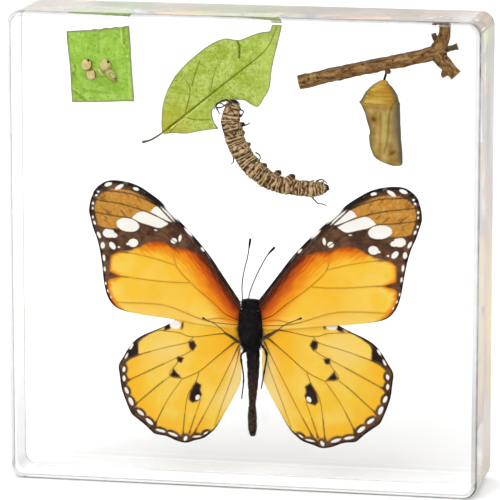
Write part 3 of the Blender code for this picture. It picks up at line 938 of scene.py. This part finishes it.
def larva_finish():
    """Dried skin: tan with pink and olive patches, a painted highlight on the crests of its wrinkles,
    painted shade in the creases, and black where the field called black says so."""
    larva = Finish("larva_skin", Roughness=0.5)
    skin = larva.tones(0.9, 4, 0.34, 0.66, (138, 110, 76), (178, 150, 108))
    pink = larva.noise(0.5, 3, larva.place((1.3, 1, 0.8)))
    olive = larva.noise(0.6, 3, larva.place((0.8, 1, 1.4)))
    skin = larva.mix(larva.step(pink, 0.5, 0.7), skin, srgb(156, 118, 100))
    skin = larva.mix(larva.step(olive, 0.55, 0.72), skin, srgb(134, 122, 72))
    # Painted highlight: the crests of the wrinkles are paler.
    skin = larva.mix(larva.step(larva.field("crest"), 0.6, 0.98), skin, srgb(212, 186, 142))
    # Painted shade: the creases, made uneven by noise, turn dark brown and then nearly black.
    low = larva.maths("ADD", larva.field("crest"), larva.maths("MULTIPLY", larva.noise(3.2, 4), 0.4))
    skin = larva.mix(larva.step(low, 0.85, 0.4), skin, srgb(98, 73, 45))
    skin = larva.mix(larva.step(low, 0.4, 0.16), skin, srgb(56, 42, 29))
    skin = larva.mix(larva.step(larva.field("black"), 0.3, 0.8), skin, srgb(40, 36, 30))
    larva.colour(skin)
    larva.relief(larva.noise(5, 5), 0.08, 0.9)
    return larva.material


LARVA_ROWS, LARVA_SIDES, FOOT_ROWS, FOOT_SIDES = 520, 96, 24, 16
WRINKLE, SEGMENT = 0.6, 1.9  # from one wrinkle and from one body ring to the next, mm
larva_line = smooth_line(LARVA, LARVA_ROWS)
steps = np.linalg.norm(np.diff(larva_line[:, :2], axis=0), axis=1)
run = np.concatenate([[0], np.cumsum(steps)])[:, None]
turn = turns(LARVA_SIDES)[None]
warped = run + 0.1 * ripple(run, turn, 9, 3) + 0.04 * ripple(3 * run, 2 * turn, 6, 4)
warped = warped + 0.22 * np.sin(1.9 * run) + 0.1 * np.sin(5.3 * run + 1)
ridges = 0.5 + 0.5 * np.cos(2 * math.pi * warped / WRINKLE)
strength = 0.5 + 0.5 * np.tanh(1.8 * ripple(1.4 * run, 2 * turn, 9, 6) + 0.7)
folds = soft(np.sin(math.pi * (run + 0.3 * ripple(0.8 * run, turn, 7, 12)) / SEGMENT), 0.22)
oblique = soft(np.sin(1.1 * run + 2 * turn + 1.2 * ripple(run, turn, 6, 9)), 0.16)
crest = 1 - (1 - ridges) * (0.3 + 0.65 * strength)
crest = np.clip(crest - 0.55 * folds - 0.5 * oblique * (1 - strength * 0.4), 0, 1)
skin_radius = larva_line[:, 2:] * (0.95 + 0.05 * ripple(run, turn, 6, 5)) + 0.24 * (crest - 0.6)
skin_radius = closed(np.maximum(skin_radius, 0))
ends = np.exp(-run / 0.55) + np.exp(-(run[-1] - run) / 0.4)
inner = np.clip(np.cos(turn) * 1.6 - 0.9, 0, 1) * np.clip(ripple(1.3 * run, turn, 6, 14), 0, 1)
# Feet: where one starts and ends, its radius, and how black its tip is. They come in pairs, which
# lean a little to the front and to the back.
LARVA_FEET = [((-0.9, 53.6), (0.5, 54.5), 0.5, 0.3), ((2.0, 50.3), (3.05, 51.3), 0.55, 0.6),
              ((4.3, 49.1), (5.3, 50.3), 0.55, 0.65), ((6.4, 48.6), (7.55, 49.7), 0.6, 0.65),
              ((-1.4, 56.0), (-0.4, 56.2), 0.5, 0.25),
              ((-1.3, 57.3), (-0.4, 57.5), 0.42, 0.9), ((-1.5, 58.7), (-0.85, 58.85), 0.3, 0.9),
              ((10.9, 48.3), (11.4, 49.1), 0.16, 0.5), ((11.6, 48.2), (12.2, 48.85), 0.14, 0.5),
              ((10.2, 48.4), (10.6, 49.0), 0.15, 0.4)]
FOOT_LEANS = (-0.5, 0.35)
parts = [tube(in_plane(larva_line[:, :2], BED), skin_radius, LARVA_SIDES, flat=0.92)]
crests, blacks = [crest.ravel()], [np.clip(ends + inner, 0, 1).ravel()]
share = np.linspace(0, 1, FOOT_ROWS)
for (x0, z0), (x1, z1), wide, tip in LARVA_FEET:
    for lean in FOOT_LEANS:
        path = np.stack([x0 + (x1 - x0) * share + 0.12 * lean, BED + lean + 0.2 * share * lean,
                         z0 + (z1 - z0) * share - 0.1 * lean], -1)
        width = wide * (1.1 - 0.35 * share + 0.12 * np.sin(share * 19)) * np.sqrt(1 - share**8)
        parts.append(tube(path, closed(width), FOOT_SIDES))
        crests.append(np.repeat(0.55 + 0.3 * np.sin(share * 19), FOOT_SIDES))
        blacks.append(np.repeat(tip * (share > 0.72), FOOT_SIDES))
make_piece("larva", *joined(parts), larva_finish(),
           {"crest": np.concatenate(crests), "black": np.concatenate(blacks)})

# Filaments: the first group stands in front of the skin, the second lies against it.
FRONT_FILAMENTS = [((-2.2, 60.7), (-2.9, 61.25), (-3.5, 61.3), (-4.3, 60.9), (-4.85, 60.2), (-5.2, 59.7)),
                   ((-4.8, 60.15), (-4.3, 60.05), (-3.7, 60.25), (-3.3, 60.55), (-2.6, 60.5)),
                   ((-4.85, 60.25), (-4.6, 60.7), (-4.0, 60.75), (-3.5, 60.5)),
                   ((-4.75, 60.1), (-4.5, 59.6), (-4.15, 59.0)),
                   ((-2.2, 61.0), (-1.8, 61.25), (-1.2, 61.0), (-1.0, 60.6))]
SKIN_FILAMENTS = [((-1.2, 59.8), (-0.7, 59.7), (-0.5, 59.4), (-0.75, 58.9)),
                  ((-0.5, 57.3), (0.1, 57.45), (0.6, 57.8)),
                  ((1.4, 53.1), (1.95, 52.8), (2.2, 52.3), (1.95, 51.8)),
                  ((10.3, 46.5), (11.3, 45.4), (12.0, 45.3), (12.85, 45.05)),
                  ((-2.4, 53.0), (-2.15, 52.3), (-2.1, 51.5), (-2.5, 51.1)),
                  ((-4.05, 58.0), (-3.75, 56.6), (-3.3, 55.2), (-2.75, 54.1)),
                  ((11.0, 48.7), (11.8, 49.15), (12.5, 48.9), (12.9, 48.5)),
                  ((12.5, 47.9), (13.0, 47.85), (13.2, 47.6))]
FILAMENT_STEPS, FILAMENT_SIDES = 48, 8
filament_width = closed(np.linspace(0.13, 0.075, FILAMENT_STEPS))
threads = [tube(in_plane(smooth_line(route, FILAMENT_STEPS), BED - ahead), filament_width, FILAMENT_SIDES)
           for ahead, routes in ((1.15, FRONT_FILAMENTS), (0.45, SKIN_FILAMENTS)) for route in routes]
filament = Finish("larva_filaments", Roughness=0.45)
filament.colour(filament.tones(2, 3, 0.4, 0.7, (26, 26, 26), (72, 68, 58)))
filament.relief(filament.noise(9, 2), 0.02, 0.5)
make_piece("larva_filaments", *joined(threads), filament.material)

# ---------------------------------------------------------------------------------------------
# Twig: a dead forked twig with furrowed bark, snipped at both ends of the stem and at the lower
# branch, with a bud, a broken stub at the fork and a knot near its left end.
# ---------------------------------------------------------------------------------------------
# Each branch: rows of x, z and radius, and how far in front of the middle it lies.
BRANCHES = [([(8.3, 64.3, 1.1), (10.5, 64.86, 1.1), (13.3, 65.63, 1.08), (19.7, 67.18, 1.06),
              (26.1, 68.63, 1.06), (29.0, 69.42, 1.1), (30.6, 70.0, 1.1), (31.4, 70.2, 0.7)], 0.0),
            ([(29.2, 69.6, 0.7), (30.1, 70.3, 1.15), (30.75, 71.3, 1.05), (31.1, 72.4, 0.92),
              (31.2, 73.4, 0.88), (31.25, 74.2, 0.9)], 0.1),
            ([(28.8, 69.6, 0.9), (30.1, 69.2, 1.25), (30.9, 68.3, 1.1), (31.9, 67.3, 0.95),
              (33.0, 66.15, 1.0)], 0.05),
            ([(30.6, 69.9, 0.5), (31.7, 70.25, 0.46), (32.4, 70.45, 0.42), (33.2, 70.7, 0.55)], 0.15),
            ([(30.4, 70.8, 0.5), (29.8, 71.6, 0.4), (29.55, 72.15, 0.45), (29.4, 72.6, 0.36)], 0.0),
            ([(31.9, 67.2, 0.6), (31.3, 66.8, 0.55), (31.15, 66.2, 0.5), (31.3, 65.9, 0.4)], 0.1)]
STEM, WEATHERED = 0, (3, 4)  # the long branch, and the small grey ones
STEM_STEPS, BRANCH_STEPS, TWIG_SIDES = 220, 70, 64
KNOT = (10.55, 65.4)
CUT_STEP = 0.03  # the cut faces close in two short steps
# Waves round the bark: number round the girth, change along the branch, strength and start.
FURROWS = ((5, 0.3, 0.35, 0), (9, -0.5, 0.4, 1.1), (14, 0.8, 0.4, 2.3), (19, -1.1, 0.3, 4.0),
           (2, 1.7, 0.35, 0.5))
# Dark pores and scars: x, z and width.
SCARS = ((9.9, 65.05, 0.26), (11.35, 65.2, 0.28), (9.2, 64.6, 0.2), (31.55, 70.1, 0.36),
         (31.3, 69.5, 0.3), (31.5, 68.9, 0.25), (30.7, 72.4, 0.25), (12.9, 65.3, 0.18),
         (23.2, 68.3, 0.22), (27.8, 69.2, 0.18), (21.0, 67.0, 0.16), (14.9, 65.0, 0.2))


def bark_finish():
    """Bark: streaks along the branch, read from its own length and girth, grey above, dark in its
    cracks, golden at the knot and pale on the cut ends."""
    bark = Finish("bark", Roughness=0.72)
    grain = bark.node("ShaderNodeCombineXYZ", X=bark.maths("MULTIPLY", bark.field("run"), 0.34),
                      Y=bark.field("side"), Z=bark.field("deep"))[0]
    streak, fine = bark.noise(2.0, 5, grain, 0.6), bark.noise(3.4, 4, grain)
    tone = bark.mix(bark.step(streak, 0.38, 0.62), srgb(98, 70, 40), srgb(168, 130, 82))
    tone = bark.mix(bark.step(bark.noise(0.7, 3), 0.5, 0.75), tone, srgb(142, 102, 56))
    tone = bark.mix(bark.step(bark.field("top"), 0.3, 0.95), tone, srgb(98, 84, 66))
    tone = bark.mix(bark.step(fine, 0.44, 0.3), tone, srgb(64, 44, 26))
    tone = bark.mix(bark.step(bark.field("crack"), 0.35, 0.85), tone, srgb(46, 34, 24))
    knotty = bark.maths("MULTIPLY", bark.step(bark.field("knot"), 0.2, 0.8),
                        bark.step(bark.noise(2.5, 3), 0.35, 0.6))
    tone = bark.mix(knotty, tone, srgb(178, 152, 84))
    bark.colour(bark.mix(bark.step(bark.field("cut"), 0.4, 0.6), tone, srgb(184, 158, 118)))
    bark.relief(bark.maths("ADD", streak, fine), 0.14, 1.0)
    return bark.material


twig_parts = []
twig_fields = {"top": [], "crack": [], "cut": [], "knot": [], "run": [], "side": [], "deep": []}
turn = turns(TWIG_SIDES)[None]
for number, (stops, forward) in enumerate(BRANCHES):
    line = smooth_line(stops, STEM_STEPS if number == STEM else BRANCH_STEPS)
    flat, radius = line[:, :2], line[:, 2]
    back, ahead = flat[0] - flat[1], flat[-1] - flat[-2]
    back, ahead = (step / np.linalg.norm(step) * CUT_STEP for step in (back, ahead))
    route = np.vstack([flat[0] + 2 * back, flat[0] + back, flat, flat[-1] + ahead, flat[-1] + 2 * ahead])
    thick = np.concatenate([[0, radius[0] * 0.94], radius, [radius[-1] * 0.94, 0]])[:, None]
    far = np.linspace(0, len(route) * 0.1, len(route))[:, None]
    furrow = sum(a * np.sin(k * turn + f * far + p) for k, f, a, p in FURROWS)
    furrow = np.tanh(furrow * (1 + 0.4 * np.sin(1.9 * far + 3 * turn)))
    girth = thick * (1 + 0.05 * furrow + 0.03 * np.sin(1.3 * far + number)
                     + 0.03 * ripple(2 * far, turn, 7, 20 + number))
    points, faces = tube(in_plane(route, BED - forward), girth, TWIG_SIDES)
    x, z = points[..., 0], points[..., 2]
    in_front = points[..., 1] < BED
    knot = soft(np.hypot(x - KNOT[0], z - KNOT[1]), 0.55) * in_front
    points[..., 1] -= 0.25 * knot
    twig_parts.append((points, faces))
    scars = sum(soft(np.hypot(x - a, (z - b) * 1.2), width) for a, b, width in SCARS)
    top = np.clip((z - route[:, 1:]) / np.maximum(thick, 0.1), 0, 1) ** 2
    if number in WEATHERED:
        top = np.maximum(top, 1.0)
    cut = np.zeros(girth.shape)
    cut[[0, 1, -2, -1]] = 1.0
    for key, value in (("knot", knot), ("run", far + number * 7.0 + 0 * turn), ("side", girth * np.cos(turn)),
                       ("deep", girth * np.sin(turn)), ("top", top), ("cut", cut),
                       ("crack", np.clip(scars * (points[..., 1] < BED) + (furrow < -0.75) * 0.45, 0, 1))):
        twig_fields[key].append(value.ravel())
make_piece("twig", *joined(twig_parts), bark_finish(),
           {key: np.concatenate(value) for key, value in twig_fields.items()})

# ---------------------------------------------------------------------------------------------
# Chrysalis: an empty-looking dried pupa hung from the twig by its black stalk. The ringed abdomen
# on top is golden, the lower part with the wing cases is tan; a beaded ridge runs round between.
# ---------------------------------------------------------------------------------------------
# Rows are z, the left side and the right side.
PUPA = [(65.15, 21.75, 21.95), (64.98, 21.25, 22.46), (64.58, 20.53, 22.7), (64.1, 19.89, 23.18),
        (63.3, 19.17, 23.74), (62.66, 18.76, 24.14), (62.0, 18.41, 24.33), (61.5, 18.2, 24.4),
        (60.9, 18.52, 24.49), (59.6, 19.0, 24.54), (58.0, 19.49, 24.62), (56.9, 19.78, 24.67),
        (56.25, 19.6, 24.7), (55.1, 19.73, 24.78), (53.85, 20.05, 24.9), (53.05, 20.45, 24.94),
        (52.4, 21.33, 24.95), (51.95, 22.4, 24.9), (51.7, 23.2, 24.6), (51.65, 23.8, 24.1)]
# Edge of the wing cases, and the fold down the middle of them.
WING_CASE = [(24.0, 62.0), (23.4, 61.0), (23.05, 59.3), (22.95, 57.4), (22.75, 55.6), (22.2, 53.8)]
WING_FOLD = [(21.7, 60.3), (21.65, 57.5), (21.6, 55.2)]
GROOVES = (64.5, 63.95, 63.35, 62.75, 62.2)  # heights of the creases between the abdomen's rings
RIDGE = 61.5  # height of the beaded ridge
BROWN_MARKS = [(20.6, 59.1, 0.75, 0.6, 0), (23.5, 53.9, 0.8, 0.45, 30)]
PUPA_ROWS, PUPA_SIDES = 260, 120
GREATEST_DEPTH = 2.85  # half of it, before the shell is flattened


def pupa_finish():
    """Golden and tan shell with dark lines, and painted shade along its outline; each field lays one
    colour over it.
    """
    pupa = Finish("pupa_shell", Roughness=0.4)
    tan = pupa.tones(0.6, 4, 0.36, 0.66, (160, 126, 56), (198, 166, 96))
    tan = pupa.mix(pupa.field("stripe"), tan, srgb(196, 180, 108))
    tan = pupa.mix(pupa.maths("MULTIPLY", pupa.field("case"), 0.75), tan, srgb(146, 132, 104))
    across = pupa.noise(0.8, 3, pupa.place((0.4, 1, 1.6)))
    gold = pupa.mix(pupa.step(across, 0.35, 0.65), srgb(184, 145, 44), srgb(212, 180, 84))
    gold = pupa.mix(pupa.field("warm"), gold, srgb(192, 136, 38))
    tone = pupa.mix(pupa.field("gold"), tan, gold)
    tone = pupa.mix(pupa.maths("MULTIPLY", pupa.field("line"), 0.75), tone, srgb(116, 84, 30))
    # Painted shade: darker olive where the shell turns edge-on to the front, along its outline.
    tone = pupa.mix(pupa.field("outline"), tone, srgb(98, 92, 68))
    pupa.colour(pupa.mix(pupa.step(pupa.field("spot"), -0.35, 0.25), tone, srgb(108, 74, 32)))
    pupa.relief(pupa.noise(2.2, 5), 0.08, 0.6)
    return pupa.material


def stalk_finish():
    """Black stalk; the silk pad over it, told by its field, is brown."""
    both = Finish("stalk_and_silk", Roughness=0.6)
    both.colour(both.mix(both.field("silk"), srgb(34, 28, 20),
                         both.tones(2, 3, 0.4, 0.6, (72, 51, 28), (116, 84, 46))))
    both.relief(both.noise(7, 4), 0.05, 0.9)
    return both.material


line = smooth_line(PUPA, PUPA_ROWS)
turn = turns(PUPA_SIDES)[None]
height, left, right = line[:, :1], line[:, 1:2], line[:, 2:3]
half, centre = (right - left) / 2, (left + right) / 2
tall = height + 0 * turn
front = np.sin(turn) > -0.15
grooves = sum(soft(height - z + 0.18 * np.cos(turn), 0.07) for z in GROOVES)
from_ridge = height - RIDGE + 0.1 * np.cos(turn)
ridge = soft(from_ridge, 0.11) * (1 + 0.4 * np.cos(30 * turn))
smooth = np.stack([centre + half * np.cos(turn), tall], -1)
case = to_line(smooth, smooth_line(WING_CASE, 40)) + 2.0 * (1 - front)
wing_fold = to_line(smooth, np.array(WING_FOLD)) + 2.0 * (1 - front)
swell = 1 - 0.035 * grooves + 0.035 * ridge - 0.06 * soft(case, 0.12) - 0.02 * soft(wing_fold, 0.2)
swell = swell + 0.012 * ripple(height, turn, 9, 31)
x = centre + half * swell * np.cos(turn)
deep = 0.9 * np.minimum(half, GREATEST_DEPTH) * swell * np.sin(turn)
pupa_fields = {
    "gold": np.clip((height - 60.3 + 0.5 * np.cos(turn * 2)) / 1.2, 0, 1),
    "case": ramp(x, 23.2, 23.7) * ramp(height, 61.6, 60.6) * np.clip((height - 53.0) / 4.5, 0.2, 1) * front,
    "line": np.clip(0.45 * grooves + 0.9 * soft(from_ridge, 0.06) * front * (x < 22.6)
                    + 0.35 * soft(from_ridge + 0.5, 0.4) * front + 0.8 * soft(case, 0.13)
                    + 0.5 * soft(wing_fold, 0.18), 0, 1),
    "spot": ovals_depth(np.stack([x, tall], -1), BROWN_MARKS),
    "warm": soft(np.hypot(x - 22.9, (height - 63.9) * 0.9), 1.3),
    "stripe": 0.7 * soft(x - 22.3, 0.5) * ramp(height, 60.6, 59.6) * front,
    # Painted shade: 1 where the shell turns edge-on to the front.
    "outline": np.exp(-(np.sin(turn) / 0.6) ** 4) + 0 * height}
make_piece("chrysalis", np.stack([x - 0.25, BED - deep, tall], -1),
           grid_faces(PUPA_ROWS, PUPA_SIDES, wrap=True), pupa_finish(), pupa_fields)

STALK = [(22.1, 66.9), (22.05, 66.3), (21.9, 65.7), (21.7, 64.95)]
SILK_PAD = [(21.9, 67.4), (22.05, 66.95), (22.35, 66.5), (22.75, 66.25)]
STALK_STEPS, STALK_SIDES, PAD_STEPS, PAD_SIDES = 50, 12, 30, 16
stalk_width = closed(0.19 + 0.03 * np.sin(np.arange(STALK_STEPS)))
pad_bumps = 1 + 0.15 * np.sin(np.arange(PAD_STEPS) * 1.3)
pad_width = 0.42 * np.sqrt(1 - np.linspace(-1, 1, PAD_STEPS) ** 4) * pad_bumps
stalk_and_pad = [tube(in_plane(smooth_line(STALK, STALK_STEPS), BED - 0.1), stalk_width, STALK_SIDES),
                 tube(in_plane(smooth_line(SILK_PAD, PAD_STEPS), BED - 0.1), pad_width, PAD_SIDES)]
silk = np.repeat([0.0, 1.0], [STALK_STEPS * STALK_SIDES, PAD_STEPS * PAD_SIDES])
make_piece("pupa_stalk", *joined(stalk_and_pad), stalk_finish(), {"silk": silk})

# ---------------------------------------------------------------------------------------------
# Resin block: clear casting resin poured round the specimens in a square mould, its corners and
# edges rounded after curing. The faces are polished, and so are the sides towards the front; behind
# they are left frosted. It is one closed surface, so the light bends truly.
# ---------------------------------------------------------------------------------------------
CORNER_RADIUS = 2.2
FACE_FILLETS = (0.86, 0.15)  # front, back
RESIN_IOR = 1.5
RESIN_TINT, RESIN_DENSITY = (0.86, 0.92, 0.94, 1.0), 3.0  # what a metre of it lets through
CORNER_STEPS, FILLET_STEPS = 24, 12
CAP_RINGS = (0, 0.3, 0.65, 0.9)  # rings on a face, as shares of the way out
# Painted shade: how much light the front edge's fillet lets through, from the face round to the
# side, in place of the dark lines that bent light draws along the edge: a thin dark line where it
# begins, then a greyed zone, then a dark outer rim. Right, top, left, bottom.
EDGE_LIGHT = [[1, 0.45, 0.42, 0.42, 0.42, 0.4, 0.2, 0.14, 0.1, 0.1, 0.12, 0.2],
              [1, 0.5, 0.42, 0.4, 0.36, 0.32, 0.25, 0.15, 0.06, 0.04, 0.04, 0.08],
              [1, 0.15, 0.35, 0.48, 0.52, 0.54, 0.56, 0.56, 0.56, 0.58, 0.6, 0.6],
              [1, 0.3, 0.8, 1, 1, 0.9, 0.4, 0.03, 0.01, 0.01, 0.01, 0.02]]
# Rings on the side faces, mm behind the front fillet, and how frosted they and the back fillet are.
SIDE_RINGS = (0.2, 4.0, 6.5)
SIDE_FROST = (0.1, 0.3, 1.0, 1.0)
SIDE_ROUGHNESS = 0.3
# Painted shade on the side faces: a dark, slightly blue tint of the light they let through, and
# how strong it is on the right, top, left and bottom.
SIDE_SHADE_TINT = (0.5, 0.5, 0.58, 1.0)
SIDE_SHADE_STRENGTH = (0.4, 0.5, 0.5, 0.85)


def rounded_block(low, high, corner, fillets):
    """(points, faces) of a block with rounded depth edges and rounded face outlines. Row k of the
    grid is the block's outline, drawn in by the fillet's arc; the ends close on the face centres."""
    arc = np.linspace(0, math.pi / 2, CORNER_STEPS)
    turn = np.concatenate([arc + k * math.pi / 2 for k in range(4)])
    out = np.stack([np.cos(turn), np.sin(turn)], -1)
    middle = (low + high)[[0, 2]] / 2
    signs = np.repeat([[1, 1], [-1, 1], [-1, -1], [1, -1]], CORNER_STEPS, axis=0)
    centres = middle + signs * ((high - low)[[0, 2]] / 2 - corner)
    bend = np.linspace(math.pi / 2, 0, FILLET_STEPS)
    ends = []
    for face, inward, fillet in ((low[1], 1, fillets[0]), (high[1], -1, fillets[1])):
        rings = [in_plane(centres + out * (corner - fillet * (1 - math.cos(b))),
                          face + inward * fillet * (1 - math.sin(b))) for b in bend]
        cap = [in_plane(middle + (rings[0][:, [0, 2]] - middle) * share, face) for share in CAP_RINGS]
        ends.append(cap + rings)
    side = [in_plane(centres + out * corner, low[1] + fillets[0] + back) for back in SIDE_RINGS]
    rows = np.array(ends[0] + side + ends[1][::-1])
    return rows, grid_faces(len(rows), len(out), wrap=True)


def block_normals(points, low, high, corner, fillets):
    """The true normals of that surface, so that its flat faces stay optically flat: the depth tells
    how far round the fillet's arc a point is, the rest how far round the corner."""
    half, middle = (high - low) / 2, (high + low) / 2
    off = points - middle
    sine = np.clip(1 - (half[1] - np.abs(off[:, 1])) / np.where(off[:, 1] < 0, *fillets), 0, 1)
    core = off[:, [0, 2]] - np.clip(off[:, [0, 2]], corner - half[[0, 2]], half[[0, 2]] - corner)
    core /= np.maximum(np.linalg.norm(core, axis=1, keepdims=True), 1e-9)
    cosine = np.sqrt(1 - sine**2)
    return np.stack([core[:, 0] * cosine, np.sign(off[:, 1]) * sine, core[:, 1] * cosine], -1)


def resin_finish():
    """Clear resin that takes light away by its depth. Its fields frost the side faces and paint shade
    on the block: a darkening tint on the side faces and grey on the front edge's fillet, a little
    unevenly."""
    resin = Finish("clear_resin", Specular_IOR_Level=0.5, Roughness=0.0, IOR=RESIN_IOR,
                   Transmission_Weight=1.0)
    clear = resin.node("ShaderNodeVolumeAbsorption", Color=RESIN_TINT, Density=RESIN_DENSITY)
    resin.tree.links.new(clear[0], resin.tree.nodes["Material Output"].inputs["Volume"])
    # Painted shade: grey is the share of light that the front edge's fillet lets through, made patchy by
    # noise.
    grey = resin.field("grey")
    uneven_shade = resin.maths("MULTIPLY_ADD", resin.noise(0.6, 3), 0.3, -0.15)
    wear_and_painted_shade = resin.maths("MULTIPLY_ADD", uneven_shade, resin.maths("SUBTRACT", 1.0, grey), grey)
    passed = resin.mix(wear_and_painted_shade, (0, 0, 0, 1), (1, 1, 1, 1))
    # Painted shade: the side faces pass less light, darker on some sides than on others.
    resin.colour(resin.mix(resin.field("side_shade"), passed, SIDE_SHADE_TINT),
                 resin.maths("MULTIPLY", resin.field("frosted"), SIDE_ROUGHNESS))
    return resin.material


shape = (block_low, block_high, CORNER_RADIUS, FACE_FILLETS)
block_points, block_faces = rounded_block(*shape)
rows, columns = block_points.shape[:2]
quarter = columns // 4
front_fillet = slice(len(CAP_RINGS), len(CAP_RINGS) + FILLET_STEPS)
sides = slice(front_fillet.stop, front_fillet.stop + len(SIDE_FROST))
back_fillet = slice(sides.stop, sides.stop + FILLET_STEPS - 2)
frosted, side_shade, grey = np.zeros((rows, columns)), np.zeros((rows, columns)), np.ones((rows, columns))
frosted[sides] = np.array(SIDE_FROST)[:, None]
frosted[back_fillet] = 1
# Painted shade on the side faces, one strength for each side.
side_shade[sides] = np.repeat(SIDE_SHADE_STRENGTH, quarter)
from_middle = np.arange(columns) - quarter * np.arange(4)[:, None] + 0.5
from_middle = (from_middle + columns / 2) % columns - columns / 2
belongs = np.exp(-(from_middle / quarter) ** 4)
# Painted shade on the front edge's fillet: each side's row of EDGE_LIGHT, blended round the corners.
grey[front_fillet] = np.array(EDGE_LIGHT).T @ (belongs / belongs.sum(0))
block = make_piece("cast_resin", block_points, block_faces, resin_finish(),
                   {"frosted": frosted, "side_shade": side_shade, "grey": grey})
placed = np.empty(len(block.data.vertices) * 3, np.float32)
block.data.vertices.foreach_get("co", placed)
normals = block_normals(placed.reshape(-1, 3).astype(float) / MM, *shape)
block.data.normals_split_custom_set_from_vertices(normals.tolist())
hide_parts("resin_block")

# ---------------------------------------------------------------------------------------------
# Room: a pale floor, an even bright studio all round that is darker towards the camera's side
# near the floor, and the camera standing off to the right and a little above.
# ---------------------------------------------------------------------------------------------


def sheet(name, corners, height, material):
    """A flat sheet through (x, y) corners at a height, all in metres."""
    mesh = bpy.data.meshes.new(name)
    mesh.from_pydata([(x, y, height) for x, y in corners], [], [(0, 1, 2, 3)])
    mesh.materials.append(material)
    made = bpy.data.objects.new(name, mesh)
    bpy.context.scene.collection.objects.link(made)
    return made


def softbox(name, width, height, energy, place):
    """A rectangular area light at a place in metres, shining straight down."""
    data = bpy.data.lights.new(name, "AREA")
    data.shape = "RECTANGLE"
    data.size, data.size_y = width, height
    data.energy = energy
    made = bpy.data.objects.new(name, data)
    made.location = place
    made.rotation_mode = "QUATERNION"
    bpy.context.scene.collection.objects.link(made)
    return made


FLOOR_REACH = 2.0
floor_finish = Finish("pale_floor", Roughness=0.6, Specular_IOR_Level=0.2)
floor_tone = floor_finish.mix(floor_finish.noise(0.01, 2), (0.77, 0.77, 0.77, 1), (0.79, 0.79, 0.79, 1))
floor_finish.colour(floor_tone)
floor_corners = FLOOR_REACH * np.array([[-1, -1], [1, -1], [1, 1], [-1, 1]])
floor = sheet("floor", floor_corners, -0.00005, floor_finish.material)

# A black card lies in front of the block, seen only in its front face: it keeps the pale floor's
# reflection off the specimens.
CARD_CORNERS = [(-0.5, -0.7), (0.4, -0.7), (0.4, -0.004), (-0.5, -0.004)]
card_finish = Finish("black_card", Specular_IOR_Level=0.0, Roughness=0.9)
card_tone = card_finish.mix(card_finish.noise(0.05, 2), (0.01, 0.01, 0.01, 1), (0.03, 0.03, 0.03, 1))
card_finish.colour(card_tone)
card = sheet("black_card", CARD_CORNERS, -0.00002, card_finish.material)
card.visible_camera = False
card.visible_diffuse = False
card.visible_transmission = False
card.visible_shadow = False

key = softbox("front_softbox", 1.6, 1.2, 32.0, (-0.35, -1.5, 1.25))
key.rotation_quaternion = (Vector((0, 0, 0.035)) - key.location).to_track_quat("-Z", "Y")
softbox("overhead_softbox", 1.2, 0.5, 4.0, (0.0, 0.45, 0.9))

# The studio's brightness: SIDE_LIGHT all round, and two soft patches, each given by the direction of
# its middle, the cosines where it begins and is full, and what it adds.
SIDE_LIGHT = 0.3
PATCHES = (((0.0, 1.0, 0.1), 0.75, 0.97, 0.9), ((-0.1, -0.6, 0.8), 0.2, 0.9, 1.4))
world = bpy.data.worlds.new("studio")
world.use_nodes = True
bpy.context.scene.world = world
tree = world.node_tree
direction = tree.nodes.new("ShaderNodeTexCoord").outputs["Generated"]
total = tree.nodes.new("ShaderNodeMath")
total.inputs[0].default_value = SIDE_LIGHT
for number, (aim, low, high, gain) in enumerate(PATCHES):
    if number:
        before, total = total, tree.nodes.new("ShaderNodeMath")
        tree.links.new(before.outputs[0], total.inputs[0])
    facing = tree.nodes.new("ShaderNodeVectorMath")
    facing.operation = "DOT_PRODUCT"
    facing.inputs[1].default_value = Vector(aim).normalized()
    tree.links.new(direction, facing.inputs[0])
    rise = tree.nodes.new("ShaderNodeMapRange")
    rise.interpolation_type = "SMOOTHSTEP"
    rise.inputs["From Min"].default_value = low
    rise.inputs["From Max"].default_value = high
    rise.inputs["To Max"].default_value = gain
    tree.links.new(facing.outputs["Value"], rise.inputs["Value"])
    tree.links.new(rise.outputs[0], total.inputs[1])
tree.links.new(total.outputs[0], tree.nodes["Background"].inputs["Strength"])
tree.nodes["Background"].inputs["Color"].default_value = (1.0, 1.0, 1.0, 1.0)

AZIMUTH, ELEVATION = math.radians(11.6), math.radians(10.74)
CAMERA_DISTANCE, FOCAL_LENGTH, FILM_WIDTH = 0.6653, 306.9, 36.0
TARGET = Vector((1.49, block_low[1], 38.41)) * MM  # a point on the front face
back = Vector((math.sin(AZIMUTH) * math.cos(ELEVATION), -math.cos(AZIMUTH) * math.cos(ELEVATION),
               math.sin(ELEVATION)))
camera_data = bpy.data.cameras.new("camera")
camera_data.sensor_width = FILM_WIDTH
camera_data.lens = FOCAL_LENGTH
camera_data.clip_start, camera_data.clip_end = 0.05, 20.0
camera = bpy.data.objects.new("camera", camera_data)
camera.location = TARGET + back * CAMERA_DISTANCE
camera.rotation_mode = "QUATERNION"
camera.rotation_quaternion = (-back).to_track_quat("-Z", "Y")
bpy.context.scene.collection.objects.link(camera)
bpy.context.scene.camera = camera

scene = bpy.context.scene
scene.view_settings.view_transform = "Standard"
scene.cycles.max_bounces = 24
scene.cycles.transmission_bounces = 24
scene.cycles.glossy_bounces = 16
scene.cycles.diffuse_bounces = 4
